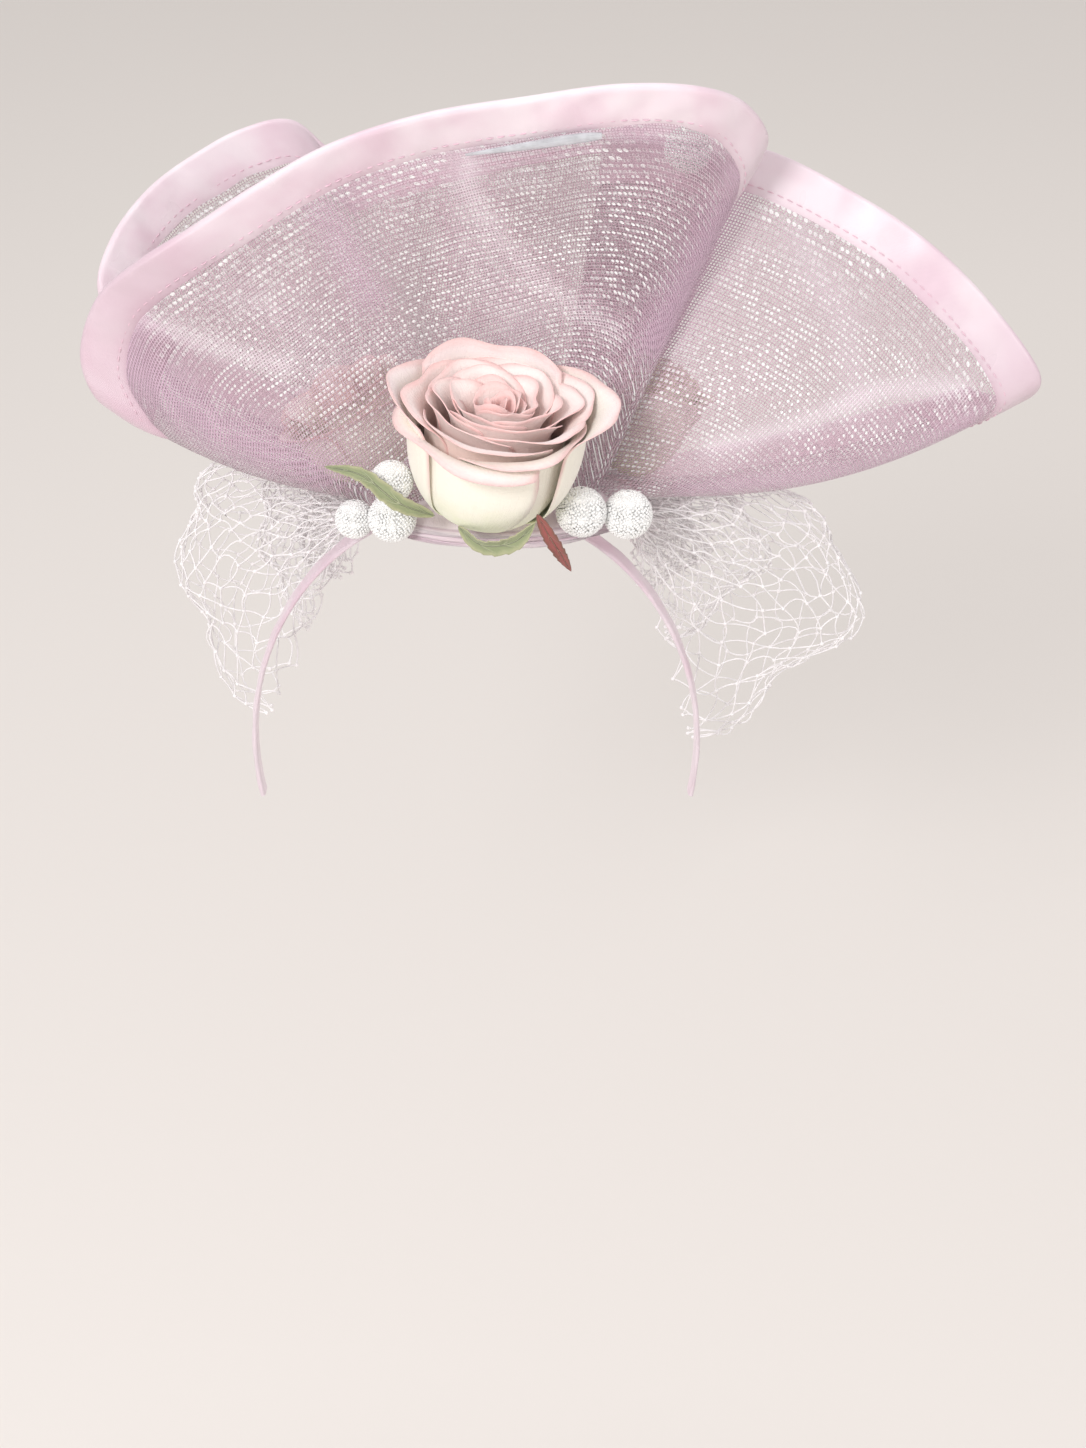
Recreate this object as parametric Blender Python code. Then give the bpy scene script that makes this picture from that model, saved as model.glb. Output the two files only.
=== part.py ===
"""Fascinator: a folded crin brim with satin edges, silk roses, bead balls and net veils on a satin base and headband.

Metres, +Z up, +X to the wearer's left, +Y to the back. The origin is where the
headband rests on the crown. Lengths below are in millimetres and are scaled once, when a solid is made.
"""

import math
from collections import namedtuple

import bpy
import numpy as np

MM = 0.001

# Driving sizes
HEAD_HALF_WIDTH = 75.0
HEAD_HALF_HEIGHT = 89.0
BAND_THICKNESS = 2.0
BAND_WIDTH = 10.0
BAND_END_DROP = 108.0

BASE_CENTRE = (8.0, 12.0)
BASE_HALF_WIDTH = 47.0
BASE_HALF_DEPTH = 36.0
BASE_THICKNESS = 5.0
BASE_SAG = 10.0
BASE_LIFT = 5.2
BASE_PLEAT = 1.1

BRIM_REACH = 185.0
BRIM_DEPTH = 86.0
BRIM_RISE = 142.0
BRIM_BELLY = 30.0
CRIN_THICKNESS = 1.0
BINDING_WIDTH = 13.0
BINDING_THICKNESS = 1.0
BINDING_ROOM = 0.6
GAP = 0.3

ROSE_RADIUS = 31.5
ROSE_HEIGHT = 42.0
ROSE_FOOT = 7.0
ROSE_STEM = 2.8
INNER_FOOT = 4.5
SIDE_ROSE_RADIUS = 22.0
SIDE_ROSE_HEIGHT = 30.8
SIDE_ROSE_FOOT = 4.5
SIDE_ROSE_STEM = 3.9
SIDE_ROSE_SQUASH = 0.78
BUD_RADIUS = 16.0
BUD_HEIGHT = 35.2
BUD_FOOT = 4.0
BUD_STEM = 1.8
PETAL_THICKNESS = 1.6

BALL_RADIUS = 8.2
GLUE_RADIUS = 2.6
GLUE_RUN = (0.351, 0.415)
GLUE_LEVEL = 0.875
LEAF_THICKNESS = 1.0
VEIL_THICKNESS = 1.2
VEIL_STRAND = 1.5
VEIL_HALF_DEPTH = 17.0
VEIL_CELLS = 10

PINK_SATIN = (0.86, 0.66, 0.74)
PINK_CRIN = (0.72, 0.50, 0.62)
CREAM = (0.93, 0.86, 0.76)
BLUSH = (0.90, 0.66, 0.60)
PEARL = (0.92, 0.91, 0.89)
NET_WHITE = (0.93, 0.86, 0.88)
LEAF_GREEN = (0.42, 0.48, 0.28)
SEPAL_RED = (0.36, 0.12, 0.11)
GLUE = (0.80, 0.80, 0.83)

SheetRow = namedtuple(
    "SheetRow",
    "rim_across rim_depth rim_rise root_across root_depth belly_across belly_depth belly_rise",
)

# One row for each place round the sheet. Rim columns are shares of BRIM_REACH, BRIM_DEPTH and BRIM_RISE,
# root columns are shares of the base's half width and half depth, belly columns are shares of BRIM_BELLY.
FRONT_ROWS = [
    SheetRow(-0.573, 0.055, 0.436, -0.74, 0.46, 0.00, 0.62, -0.16),
    SheetRow(-0.606, -0.015, 0.372, -0.87, 0.17, 0.00, 0.45, -0.35),
    SheetRow(-0.612, -0.090, 0.312, -0.94, -0.05, 0.00, 0.20, -0.48),
    SheetRow(-0.628, -0.175, 0.306, -0.95, -0.20, 0.00, -0.05, -0.50),
    SheetRow(-0.646, -0.235, 0.358, -0.92, -0.35, 0.00, -0.20, -0.42),
    SheetRow(-0.650, -0.275, 0.435, -0.84, -0.50, 0.00, -0.20, -0.30),
    SheetRow(-0.609, -0.349, 0.566, -0.73, -0.59, 0.00, 0.00, -0.15),
    SheetRow(-0.536, -0.407, 0.657, -0.61, -0.62, 0.00, 0.05, 0.00),
    SheetRow(-0.449, -0.419, 0.733, -0.48, -0.58, 0.00, 0.15, 0.00),
    SheetRow(-0.345, -0.395, 0.818, -0.34, -0.50, 0.00, 0.30, 0.00),
    SheetRow(-0.224, -0.337, 0.894, -0.21, -0.42, 0.00, 0.45, 0.00),
    SheetRow(-0.072, -0.279, 0.947, -0.08, -0.36, 0.00, 0.55, 0.00),
    SheetRow(0.091, -0.233, 0.977, 0.04, -0.34, 0.00, 0.60, 0.00),
    SheetRow(0.255, -0.198, 1.004, 0.17, -0.36, 0.00, 0.55, 0.00),
    SheetRow(0.378, -0.163, 0.994, 0.30, -0.43, 0.00, 0.45, 0.00),
    SheetRow(0.449, -0.093, 0.952, 0.43, -0.52, 0.00, 0.35, 0.00),
    SheetRow(0.498, 0.010, 0.862, 0.56, -0.59, 0.00, 0.25, 0.00),
    SheetRow(0.490, 0.100, 0.808, 0.67, -0.56, 0.00, 0.25, 0.00),
    SheetRow(0.434, 0.172, 0.797, 0.62, -0.47, 0.00, 0.25, 0.00),
    SheetRow(0.349, 0.192, 0.813, 0.53, -0.42, 0.00, 0.25, 0.00),
    SheetRow(0.270, 0.208, 0.823, 0.44, -0.38, 0.00, 0.25, 0.00),
    SheetRow(0.229, 0.280, 0.815, 0.37, -0.26, 0.00, 0.20, 0.00),
    SheetRow(0.270, 0.354, 0.806, 0.43, -0.13, 0.00, 0.12, 0.00),
    SheetRow(0.380, 0.360, 0.797, 0.54, -0.14, 0.00, 0.02, 0.00),
    SheetRow(0.510, 0.340, 0.775, 0.66, -0.27, 0.00, -0.30, 0.00),
    SheetRow(0.660, 0.315, 0.684, 0.74, -0.38, 0.10, -0.60, 0.00),
    SheetRow(0.785, 0.270, 0.585, 0.80, -0.47, 0.20, -0.70, -0.20),
    SheetRow(0.902, 0.200, 0.452, 0.87, -0.40, 0.20, -0.50, -0.60),
    SheetRow(0.998, 0.100, 0.290, 0.96, -0.20, 0.10, -0.20, -0.85),
    SheetRow(0.990, 0.165, 0.228, 0.99, -0.02, 0.00, 0.05, -0.90),
    SheetRow(0.947, 0.260, 0.195, 0.96, 0.20, 0.00, 0.35, -0.75),
    SheetRow(0.884, 0.355, 0.208, 0.85, 0.48, 0.00, 0.60, -0.45),
]

REAR_ROWS = [
    SheetRow(-0.626, 0.270, 0.380, -0.72, 0.62, 0.00, 0.70, -0.20),
    SheetRow(-0.655, 0.235, 0.480, -0.65, 0.72, -0.10, 0.70, -0.30),
    SheetRow(-0.638, 0.372, 0.560, -0.53, 0.79, -0.20, 0.60, -0.35),
    SheetRow(-0.577, 0.605, 0.645, -0.42, 0.84, -0.20, 0.50, -0.40),
    SheetRow(-0.496, 0.790, 0.700, -0.32, 0.88, -0.15, 0.45, -0.40),
    SheetRow(-0.428, 0.907, 0.730, -0.21, 0.91, -0.10, 0.40, -0.40),
    SheetRow(-0.348, 0.977, 0.740, -0.12, 0.92, 0.00, 0.35, -0.35),
    SheetRow(-0.283, 1.000, 0.674, -0.04, 0.93, 0.00, 0.35, -0.30),
    SheetRow(-0.205, 0.985, 0.648, 0.05, 0.93, 0.00, 0.35, -0.30),
    SheetRow(-0.083, 0.955, 0.700, 0.15, 0.92, 0.00, 0.40, -0.35),
    SheetRow(0.082, 0.977, 0.745, 0.28, 0.89, 0.00, 0.45, -0.40),
    SheetRow(0.265, 1.000, 0.775, 0.41, 0.85, 0.10, 0.45, -0.40),
    SheetRow(0.411, 0.953, 0.767, 0.53, 0.79, 0.15, 0.45, -0.40),
    SheetRow(0.485, 0.830, 0.715, 0.63, 0.72, 0.15, 0.40, -0.40),
    SheetRow(0.476, 0.700, 0.620, 0.72, 0.64, 0.10, 0.35, -0.35),
]

BallRow = namedtuple("BallRow", "name across deep lift size")

# Across and deep are shares of the base's half width and half depth from its centre, lift is the centre's
# height over the base's top in ball radii, size is a share of BALL_RADIUS.
BALL_ROWS = [
    BallRow("ball_right_inner", 0.58, -0.96, 1.12, 1.0),
    BallRow("ball_right_outer", 0.90, -0.84, 1.10, 0.98),
    BallRow("ball_left_inner", -0.71, -0.94, 0.98, 0.96),
    BallRow("ball_left_outer", -0.975, -0.80, 0.92, 0.78),
    BallRow("ball_left_upper", -0.70, -1.07, 3.05, 0.84),
]
HIGH_BALL_SIZE = 0.90
HIGH_BALL_PLACE = (0.480, 0.835)

# Name, half width, colour, facing and path of each leaf: across and deep as shares of the base's half sizes,
# rise over the base's top as a share of ROSE_HEIGHT.
LEAF_PATHS = [
    ("leaf", 5.5, "green", (0.1, -0.9, 0.4),
     [(-0.463, -1.26, 0.385), (-0.645, -1.42, 0.74), (-0.88, -1.30, 0.92), (-1.15, -1.05, 0.90)]),
    ("sepal_green", 3.2, "green", (0.0, -0.9, -0.35),
     [(-0.25, -1.345, 0.32), (-0.08, -1.53, 0.32), (0.13, -1.60, 0.42), (0.28, -1.64, 0.62)]),
    ("sepal_red", 3.2, "red", (0.0, -1.0, 0.2),
     [(0.35, -1.685, 0.82), (0.385, -1.605, 0.58), (0.45, -1.48, 0.33), (0.51, -1.36, 0.08)]),
]

VeilRow = namedtuple("VeilRow", "turn reach")

# Fan of each veil from its gather, whose place is a share of the base's half width: turn in degrees below
# level, reach as a share of the veil's reach.
LEFT_VEIL_GATHER = -0.91
LEFT_VEIL_REACH = 93.0
LEFT_VEIL_ROWS = [
    VeilRow(-13.0, 0.54),
    VeilRow(0.0, 0.64),
    VeilRow(13.0, 0.71),
    VeilRow(30.0, 0.80),
    VeilRow(48.0, 0.91),
    VeilRow(65.0, 0.99),
]
RIGHT_VEIL_GATHER = 0.86
RIGHT_VEIL_REACH = 100.0
RIGHT_VEIL_ROWS = [
    VeilRow(0.0, 0.52),
    VeilRow(10.0, 0.72),
    VeilRow(23.0, 0.89),
    VeilRow(37.0, 0.96),
    VeilRow(56.0, 0.94),
    VeilRow(74.0, 0.97),
]


def clear_scene():
    """Empties the scene."""
    for obj in list(bpy.data.objects):
        bpy.data.objects.remove(obj, do_unlink=True)


def material(name, colour, roughness, alpha=1.0):
    """One Principled material."""
    made = bpy.data.materials.new(name)
    made.use_nodes = True
    shader = made.node_tree.nodes["Principled BSDF"]
    shader.inputs["Base Color"].default_value = (*colour, 1.0)
    shader.inputs["Roughness"].default_value = roughness
    shader.inputs["Metallic"].default_value = 0.0
    shader.inputs["Alpha"].default_value = alpha
    made.diffuse_color = (*colour, 1.0)
    return made


def signed_volume(points, faces):
    """Six times the volume inside the faces, positive where they point out."""
    total = 0.0
    for face in faces:
        for k in range(1, len(face) - 1):
            a, b, c = points[face[0]], points[face[k]], points[face[k + 1]]
            total += float(np.dot(a, np.cross(b, c)))
    return total


def add_solid(name, points, faces, finish, smooth=40.0):
    """Makes one mesh object from points in millimetres, with its faces turned out."""
    points = np.asarray(points, float).reshape(-1, 3)
    faces = [tuple(int(i) for i in face) for face in faces]
    if signed_volume(points, faces) < 0:
        faces = [face[::-1] for face in faces]
    mesh = bpy.data.meshes.new(name)
    mesh.from_pydata((points * MM).tolist(), [], faces)
    mesh.materials.append(finish)
    mesh.shade_smooth()
    mesh.set_sharp_from_angle(angle=math.radians(smooth))
    mesh.update()
    obj = bpy.data.objects.new(name, mesh)
    bpy.context.scene.collection.objects.link(obj)
    return obj


def grid_faces(rows, cols, wrap=False, turned=()):
    """Triangles of a grid of rows by cols points, its rows closed into rings if wrap.

    Each cell is cut along one diagonal, and along the other in the turned columns."""
    i, j = np.meshgrid(np.arange(rows - 1), np.arange(cols if wrap else cols - 1), indexing="ij")
    k = (j + 1) % cols
    a, b, c, d = i * cols + j, i * cols + k, (i + 1) * cols + k, (i + 1) * cols + j
    swap = np.isin(j, turned)
    first = np.where(swap[..., None], np.stack([a, b, d], -1), np.stack([a, b, c], -1))
    second = np.where(swap[..., None], np.stack([b, c, d], -1), np.stack([a, c, d], -1))
    return np.concatenate([first.reshape(-1, 3), second.reshape(-1, 3)]).tolist()


def rings_solid(rings, first=None, last=None):
    """Closed skin over rings of points, shape (rows, cols, 3), with a pole or a flat cap at each end."""
    rows, cols = rings.shape[:2]
    points = rings.reshape(-1, 3)
    faces = grid_faces(rows, cols, wrap=True)
    for pole, row in ((first, 0), (last, rows - 1)):
        ring = [row * cols + j for j in range(cols)]
        if row == 0:
            ring = ring[::-1]
        if pole is None:
            faces.append(ring)
            continue
        points = np.vstack([points, pole])
        top = len(points) - 1
        faces += [(ring[j], ring[(j + 1) % cols], top) for j in range(cols)]
    return points, faces


def knots_of(points):
    """Centripetal knots along a run of points."""
    return np.concatenate([[0.0], np.cumsum(np.sqrt(np.linalg.norm(np.diff(points, axis=0), axis=1)))])


def curve_through(values, knots, where):
    """Cubic Hermite curve through the values at the knots, read at where."""
    slopes = np.diff(values, axis=0) / np.diff(knots)[:, None]
    before, after = np.diff(knots)[:-1, None], np.diff(knots)[1:, None]
    inner = (slopes[:-1] * after + slopes[1:] * before) / (before + after)
    tangents = np.vstack([slopes[:1], inner, slopes[-1:]])
    i = np.clip(np.searchsorted(knots, where, side="right") - 1, 0, len(knots) - 2)
    span = (knots[i + 1] - knots[i])[:, None]
    t = (where[:, None] - knots[i][:, None]) / span
    return (
        (2 * t**3 - 3 * t**2 + 1) * values[i]
        + (t**3 - 2 * t**2 + t) * span * tangents[i]
        + (3 * t**2 - 2 * t**3) * values[i + 1]
        + (t**3 - t**2) * span * tangents[i + 1]
    )


def even_places(points, count, turn_weight):
    """Indices, as fractions, that share out length and turning evenly over a fine run of points."""
    steps = np.diff(points, axis=0)
    lengths = np.linalg.norm(steps, axis=1)
    ways = steps / lengths[:, None]
    turns = np.arccos(np.clip((ways[1:] * ways[:-1]).sum(axis=1), -1, 1))
    cost = np.concatenate([[0.0], np.cumsum(lengths + turn_weight * np.append(turns, 0.0))])
    return np.interp(np.linspace(0, cost[-1], count), cost, np.arange(len(points)))


def dome_height(x, y):
    """Height of the base's underside: a shallow dome."""
    across = (x - BASE_CENTRE[0]) / BASE_HALF_WIDTH
    deep = (y - BASE_CENTRE[1]) / BASE_HALF_DEPTH
    return BASE_LIFT - BASE_SAG * (across**2 + deep**2)


class Sheet:
    """One crin sheet: quadratic curves from the root on the base, over a belly point, to the rim."""

    def __init__(self, rows, count, levels, ruffle, ruffle_turns):
        table = np.array(rows)
        rim = table[:, :3] * (BRIM_REACH, BRIM_DEPTH, BRIM_RISE)
        root_x = BASE_CENTRE[0] + table[:, 3] * BASE_HALF_WIDTH
        root_y = BASE_CENTRE[1] + table[:, 4] * BASE_HALF_DEPTH
        root_z = dome_height(root_x, root_y) + BASE_THICKNESS + 3.5 * GAP
        root = np.stack([root_x, root_y, root_z], axis=1)
        belly = (rim + root) / 2 + table[:, 5:] * BRIM_BELLY
        knots = knots_of(rim)
        fine = np.linspace(0, knots[-1], 40 * len(rows))
        fine_rim = curve_through(rim, knots, fine)
        places = even_places(fine_rim, count, 12.0)
        where = np.interp(places, np.arange(len(fine)), fine)
        self.rim = curve_through(rim, knots, where)
        self.root = curve_through(root, knots, where)
        self.belly = curve_through(belly, knots, where)
        self.share = where / knots[-1]
        self.ruffle = ruffle * np.sin(2 * math.pi * ruffle_turns * self.share)
        length = np.linalg.norm(self.rim - self.root, axis=1)
        along = np.gradient(self.rim, axis=0)
        along /= np.linalg.norm(along, axis=1)[:, None]
        out = self.rim - self.belly
        out /= np.linalg.norm(out, axis=1)[:, None]
        self.rim = self.rim - out * (BINDING_ROOM + BINDING_THICKNESS)
        slant = np.sqrt(1 - np.clip((along * out).sum(axis=1) ** 2, 0, 0.75))
        self.seam = 1 - BINDING_WIDTH / (length * slant)
        share = np.linspace(0, 1, levels)
        self.levels = np.hstack([self.seam[:, None] * share, np.ones((count, 1))])
        self.points = self.at(self.levels)
        self.normals = self.normals_at()

    def at(self, v):
        """Points at v, shape (count, levels)."""
        v = v[..., None]
        flat = (1 - v) ** 2 * self.root[:, None] + 2 * v * (1 - v) * self.belly[:, None] + v**2 * self.rim[:, None]
        side = np.gradient(self.rim, axis=0)
        out = self.rim - self.root
        wave = np.cross(side, out)
        wave /= np.linalg.norm(wave, axis=1)[:, None]
        return flat + (self.ruffle[:, None, None] * v**2) * wave[:, None]

    def spot(self, share, level):
        """Point and normal at a share of the way round and a level from root to rim."""
        i = min(int(np.searchsorted(self.share, share)), len(self.share) - 2)
        near = self.at(np.full((len(self.rim), 3), level) + (0.0, 0.01, -0.01))
        t = (share - self.share[i - 1]) / (self.share[i] - self.share[i - 1])
        point = near[i - 1, 0] * (1 - t) + near[i, 0] * t
        normal = np.cross(near[i, 0] - near[i - 1, 0], near[i, 1] - near[i, 2])
        return point, normal / np.linalg.norm(normal)

    def normals_at(self):
        """Unit normals of the grid of points."""
        du = np.gradient(self.points, axis=0)
        dv = np.gradient(self.points, axis=1)
        normal = np.cross(du, dv)
        return normal / np.linalg.norm(normal, axis=-1)[..., None]

    def solid(self):
        """The sheet as one closed skin of CRIN_THICKNESS."""
        half = CRIN_THICKNESS / 2
        rows, cols = self.points.shape[:2]
        top = (self.points + half * self.normals).reshape(-1, 3)
        low = (self.points - half * self.normals).reshape(-1, 3)
        size = rows * cols
        faces = grid_faces(rows, cols)
        faces += [[i + size for i in face[::-1]] for face in faces]
        edge = list(range(cols))
        edge += [i * cols + cols - 1 for i in range(1, rows)]
        edge += [(rows - 1) * cols + j for j in range(cols - 2, -1, -1)]
        edge += [i * cols for i in range(rows - 2, 0, -1)]
        for a, b in zip(edge, edge[1:] + edge[:1]):
            faces.append((b, a, a + size, b + size))
        return np.vstack([top, low]), faces


def wrapped_edge(points, normals, outward):
    """U-section strip round an edge. Axis 0 runs along the edge, axis 1 runs across, ending at the edge."""
    inner = CRIN_THICKNESS / 2 + BINDING_ROOM
    outer = inner + BINDING_THICKNESS
    chains = []
    for offset, reach in ((outer, BINDING_ROOM + BINDING_THICKNESS), (inner, BINDING_ROOM)):
        line = points.copy()
        line[:, -1] += outward * reach
        near = line + normals * offset
        far = line - normals * offset
        chains.append(np.concatenate([near, far[:, ::-1]], axis=1))
    loop = np.concatenate([chains[0], chains[1][:, ::-1]], axis=1)
    rows, cols = loop.shape[:2]
    across = points.shape[1]
    turned = list(range(across, 2 * across)) + list(range(2 * across, 3 * across))
    faces = grid_faces(rows, cols, True, turned)
    half = cols // 2
    for row, turn in ((0, -1), (rows - 1, 1)):
        for k in range(half - 1):
            quad = (row * cols + k, row * cols + k + 1, row * cols + cols - 2 - k, row * cols + cols - 1 - k)
            faces.append(quad[::turn])
    return loop.reshape(-1, 3), faces


def build_sheet(name, sheet, finish, satin, end_columns):
    """The crin sheet, its rim binding and a binding down each of its two ends."""
    add_solid(name, *sheet.solid(), finish)
    points, normals = sheet.points, sheet.normals
    out = square_to(points[:, -1] - points[:, -2], np.gradient(points[:, -1], axis=0))
    add_solid(name + "_binding", *wrapped_edge(points[:, -2:], normals[:, -2:], out), satin)
    for end, order in (("start", slice(end_columns, None, -1)), ("end", slice(-1 - end_columns, None))):
        across = points[order][:, 1:-2].transpose(1, 0, 2)
        facing = normals[order][:, 1:-2].transpose(1, 0, 2)
        out = square_to(across[:, -1] - across[:, -2], np.gradient(across[:, -1], axis=0))
        add_solid(f"{name}_{end}_strip", *wrapped_edge(across, facing, out), satin)


def square_to(ways, along):
    """Unit vectors: the ways with their part along the second vectors taken out."""
    along = along / np.linalg.norm(along, axis=1)[:, None]
    square = ways - (ways * along).sum(axis=1)[:, None] * along
    return square / np.linalg.norm(square, axis=1)[:, None]


def on_base(across, deep, lift=0.0):
    """Point over the base's top: across and deep are shares of its half width and half depth."""
    x = BASE_CENTRE[0] + across * BASE_HALF_WIDTH
    y = BASE_CENTRE[1] + deep * BASE_HALF_DEPTH
    return np.array([x, y, dome_height(x, y) + BASE_THICKNESS + lift])


def build_headband(satin):
    """Arch of the headband: a flat band bent over the head's oval."""
    limit = math.acos((HEAD_HALF_HEIGHT - BAND_END_DROP) / HEAD_HALF_HEIGHT)
    turn = np.linspace(-limit, limit, 23)
    width = BAND_WIDTH * (1 - 0.25 * (turn / limit) ** 4)
    section = [(0.5, 0.35), (0.36, 1.0), (-0.36, 1.0), (-0.5, 0.35), (-0.42, 0.0), (0.42, 0.0)]
    rings = []
    for share, rise in section:
        x = (HEAD_HALF_WIDTH + rise * BAND_THICKNESS) * np.sin(turn)
        z = (HEAD_HALF_HEIGHT + rise * BAND_THICKNESS) * np.cos(turn) - HEAD_HALF_HEIGHT
        rings.append(np.stack([x, share * width, z], axis=1))
    add_solid("headband", *rings_solid(np.stack(rings, axis=1)), satin)


def build_base(satin):
    """Oval base: a shallow dome with stacked pleats round its edge."""
    turn = np.linspace(0, 2 * math.pi, 32, endpoint=False)
    profile = [(0.5, 0.0, 0.0), (0.93, 0.0, 0.0)]
    pleats = 3
    for k in range(pleats):
        profile.append((1.0, (k + 0.06) / pleats, 0.0))
        profile.append((1.0, (k + 0.55) / pleats, BASE_PLEAT))
    profile += [(0.99, 1.0, 0.0), (0.5, 1.0, 0.0)]
    rings = []
    for radius, rise, bulge in profile:
        x = BASE_CENTRE[0] + (BASE_HALF_WIDTH * radius + bulge) * np.cos(turn)
        y = BASE_CENTRE[1] + (BASE_HALF_DEPTH * radius + bulge) * np.sin(turn)
        rings.append(np.stack([x, y, dome_height(x, y) + BASE_THICKNESS * rise], axis=1))
    low = (BASE_CENTRE[0], BASE_CENTRE[1], BASE_LIFT)
    top = (BASE_CENTRE[0], BASE_CENTRE[1], BASE_LIFT + BASE_THICKNESS)
    add_solid("base", *rings_solid(np.array(rings), low, top), satin)


def place(points, foot, axis):
    """Turns points from the local +Z axis to the given axis and moves them to foot."""
    axis = np.array(axis, float) / np.linalg.norm(axis)
    side = np.cross((0.0, 1.0, 0.0), axis)
    side /= np.linalg.norm(side)
    deep = np.cross(axis, side)
    return points @ np.array([side, deep, axis]) + foot


def cup_profile(foot_radius, radius, height):
    """Radius and height of a petal cup's outside at a few shares from its foot to its rim."""
    shares = np.array([0.0, 0.16, 0.38, 0.62, 0.84, 1.0])
    out = foot_radius + (radius - foot_radius) * np.sin(shares * math.pi / 2) ** 0.95
    lift = height * (1 - np.cos(shares * math.pi / 2)) ** 0.8
    return shares, out, lift


def petal_cup(name, foot, axis, size, stem, lobes, finish, cols, squash=1.0, broad=0.0):
    """Ring of petals as one lobed cup, closed, open at the top.

    size holds its foot radius, radius and height, stem is how far it narrows below its foot, lobes holds
    the number of petals and their turn, and broad is how much further the petal at local +X reaches."""
    angle = np.linspace(0, 2 * math.pi, cols, endpoint=False)
    lobe = 0.5 + 0.5 * np.cos(lobes[0] * angle + lobes[1])
    wide = broad * np.exp(-((((angle + math.pi) % (2 * math.pi)) - math.pi) / 0.6) ** 2)
    shares, body, lift = cup_profile(*size)
    height = size[2]
    rings = []
    for inside, order in ((0, range(len(shares))), (1, range(len(shares) - 2, 0, -1))):
        for k in order:
            out = body[k] * (1 + (0.08 * lobe + wide) * shares[k] ** 3) - inside * PETAL_THICKNESS
            up = lift[k] + height * (0.09 * (1 - lobe) - 0.25 * wide) * shares[k] ** 2
            up = up + inside * PETAL_THICKNESS * (1 - 0.7 * shares[k])
            rings.append(np.stack([out * np.cos(angle), squash * out * np.sin(angle), up + 0 * angle], axis=1))
    rings = np.array(rings)
    shape = rings.shape
    rings = place(rings.reshape(-1, 3), foot, axis).reshape(shape)
    low = place(np.array([[0.0, 0.0, -stem]]), foot, axis)[0]
    top = place(np.array([[0.0, 0.0, lift[1] + PETAL_THICKNESS]]), foot, axis)[0]
    add_solid(name, *rings_solid(rings, low, top), finish)


def rose_heart(name, foot, axis, start, radius, height, finish, cols, squash=1.0):
    """Closed bud of wound petals that stands in a cup, with rings of petal edges up to its heart."""
    angle = np.linspace(0, 2 * math.pi, cols, endpoint=False)
    rings = []
    for share in (0.0, 0.3, 0.65, 1.0):
        out = radius * (0.42 + 0.58 * math.sin(share * math.pi / 2)) * (1 + 0.06 * share * np.cos(3 * angle))
        up = start + (height - start) * share + 0.04 * height * share * np.sin(angle)
        rings.append(np.stack([out * np.cos(angle), squash * out * np.sin(angle), up], axis=1))
    for share, drop in ((0.74, 0.07), (0.56, 0.0), (0.36, 0.06), (0.2, 0.01)):
        out = radius * share * (1 + 0.08 * np.cos(2 * angle + 9 * share))
        up = height * (1 - drop + 0.02 * np.sin(angle + 7 * share))
        rings.append(np.stack([out * np.cos(angle), squash * out * np.sin(angle), up], axis=1))
    rings = np.array(rings)
    shape = rings.shape
    rings = place(rings.reshape(-1, 3), foot, axis).reshape(shape)
    low = place(np.array([[0.0, 0.0, start - GAP]]), foot, axis)[0]
    top = place(np.array([[0.0, 0.0, 0.95 * height]]), foot, axis)[0]
    add_solid(name, *rings_solid(rings, low, top), finish)


def heart_start(foot_radius, radius, height, heart_radius):
    """Height at which a heart of this radius clears the inside of a cup of this size."""
    shares, out, lift = cup_profile(foot_radius, radius, height)
    room = np.interp(0.42 * heart_radius + GAP, out - PETAL_THICKNESS, lift)
    return max(room, lift[1]) + PETAL_THICKNESS + 3 * GAP


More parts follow.
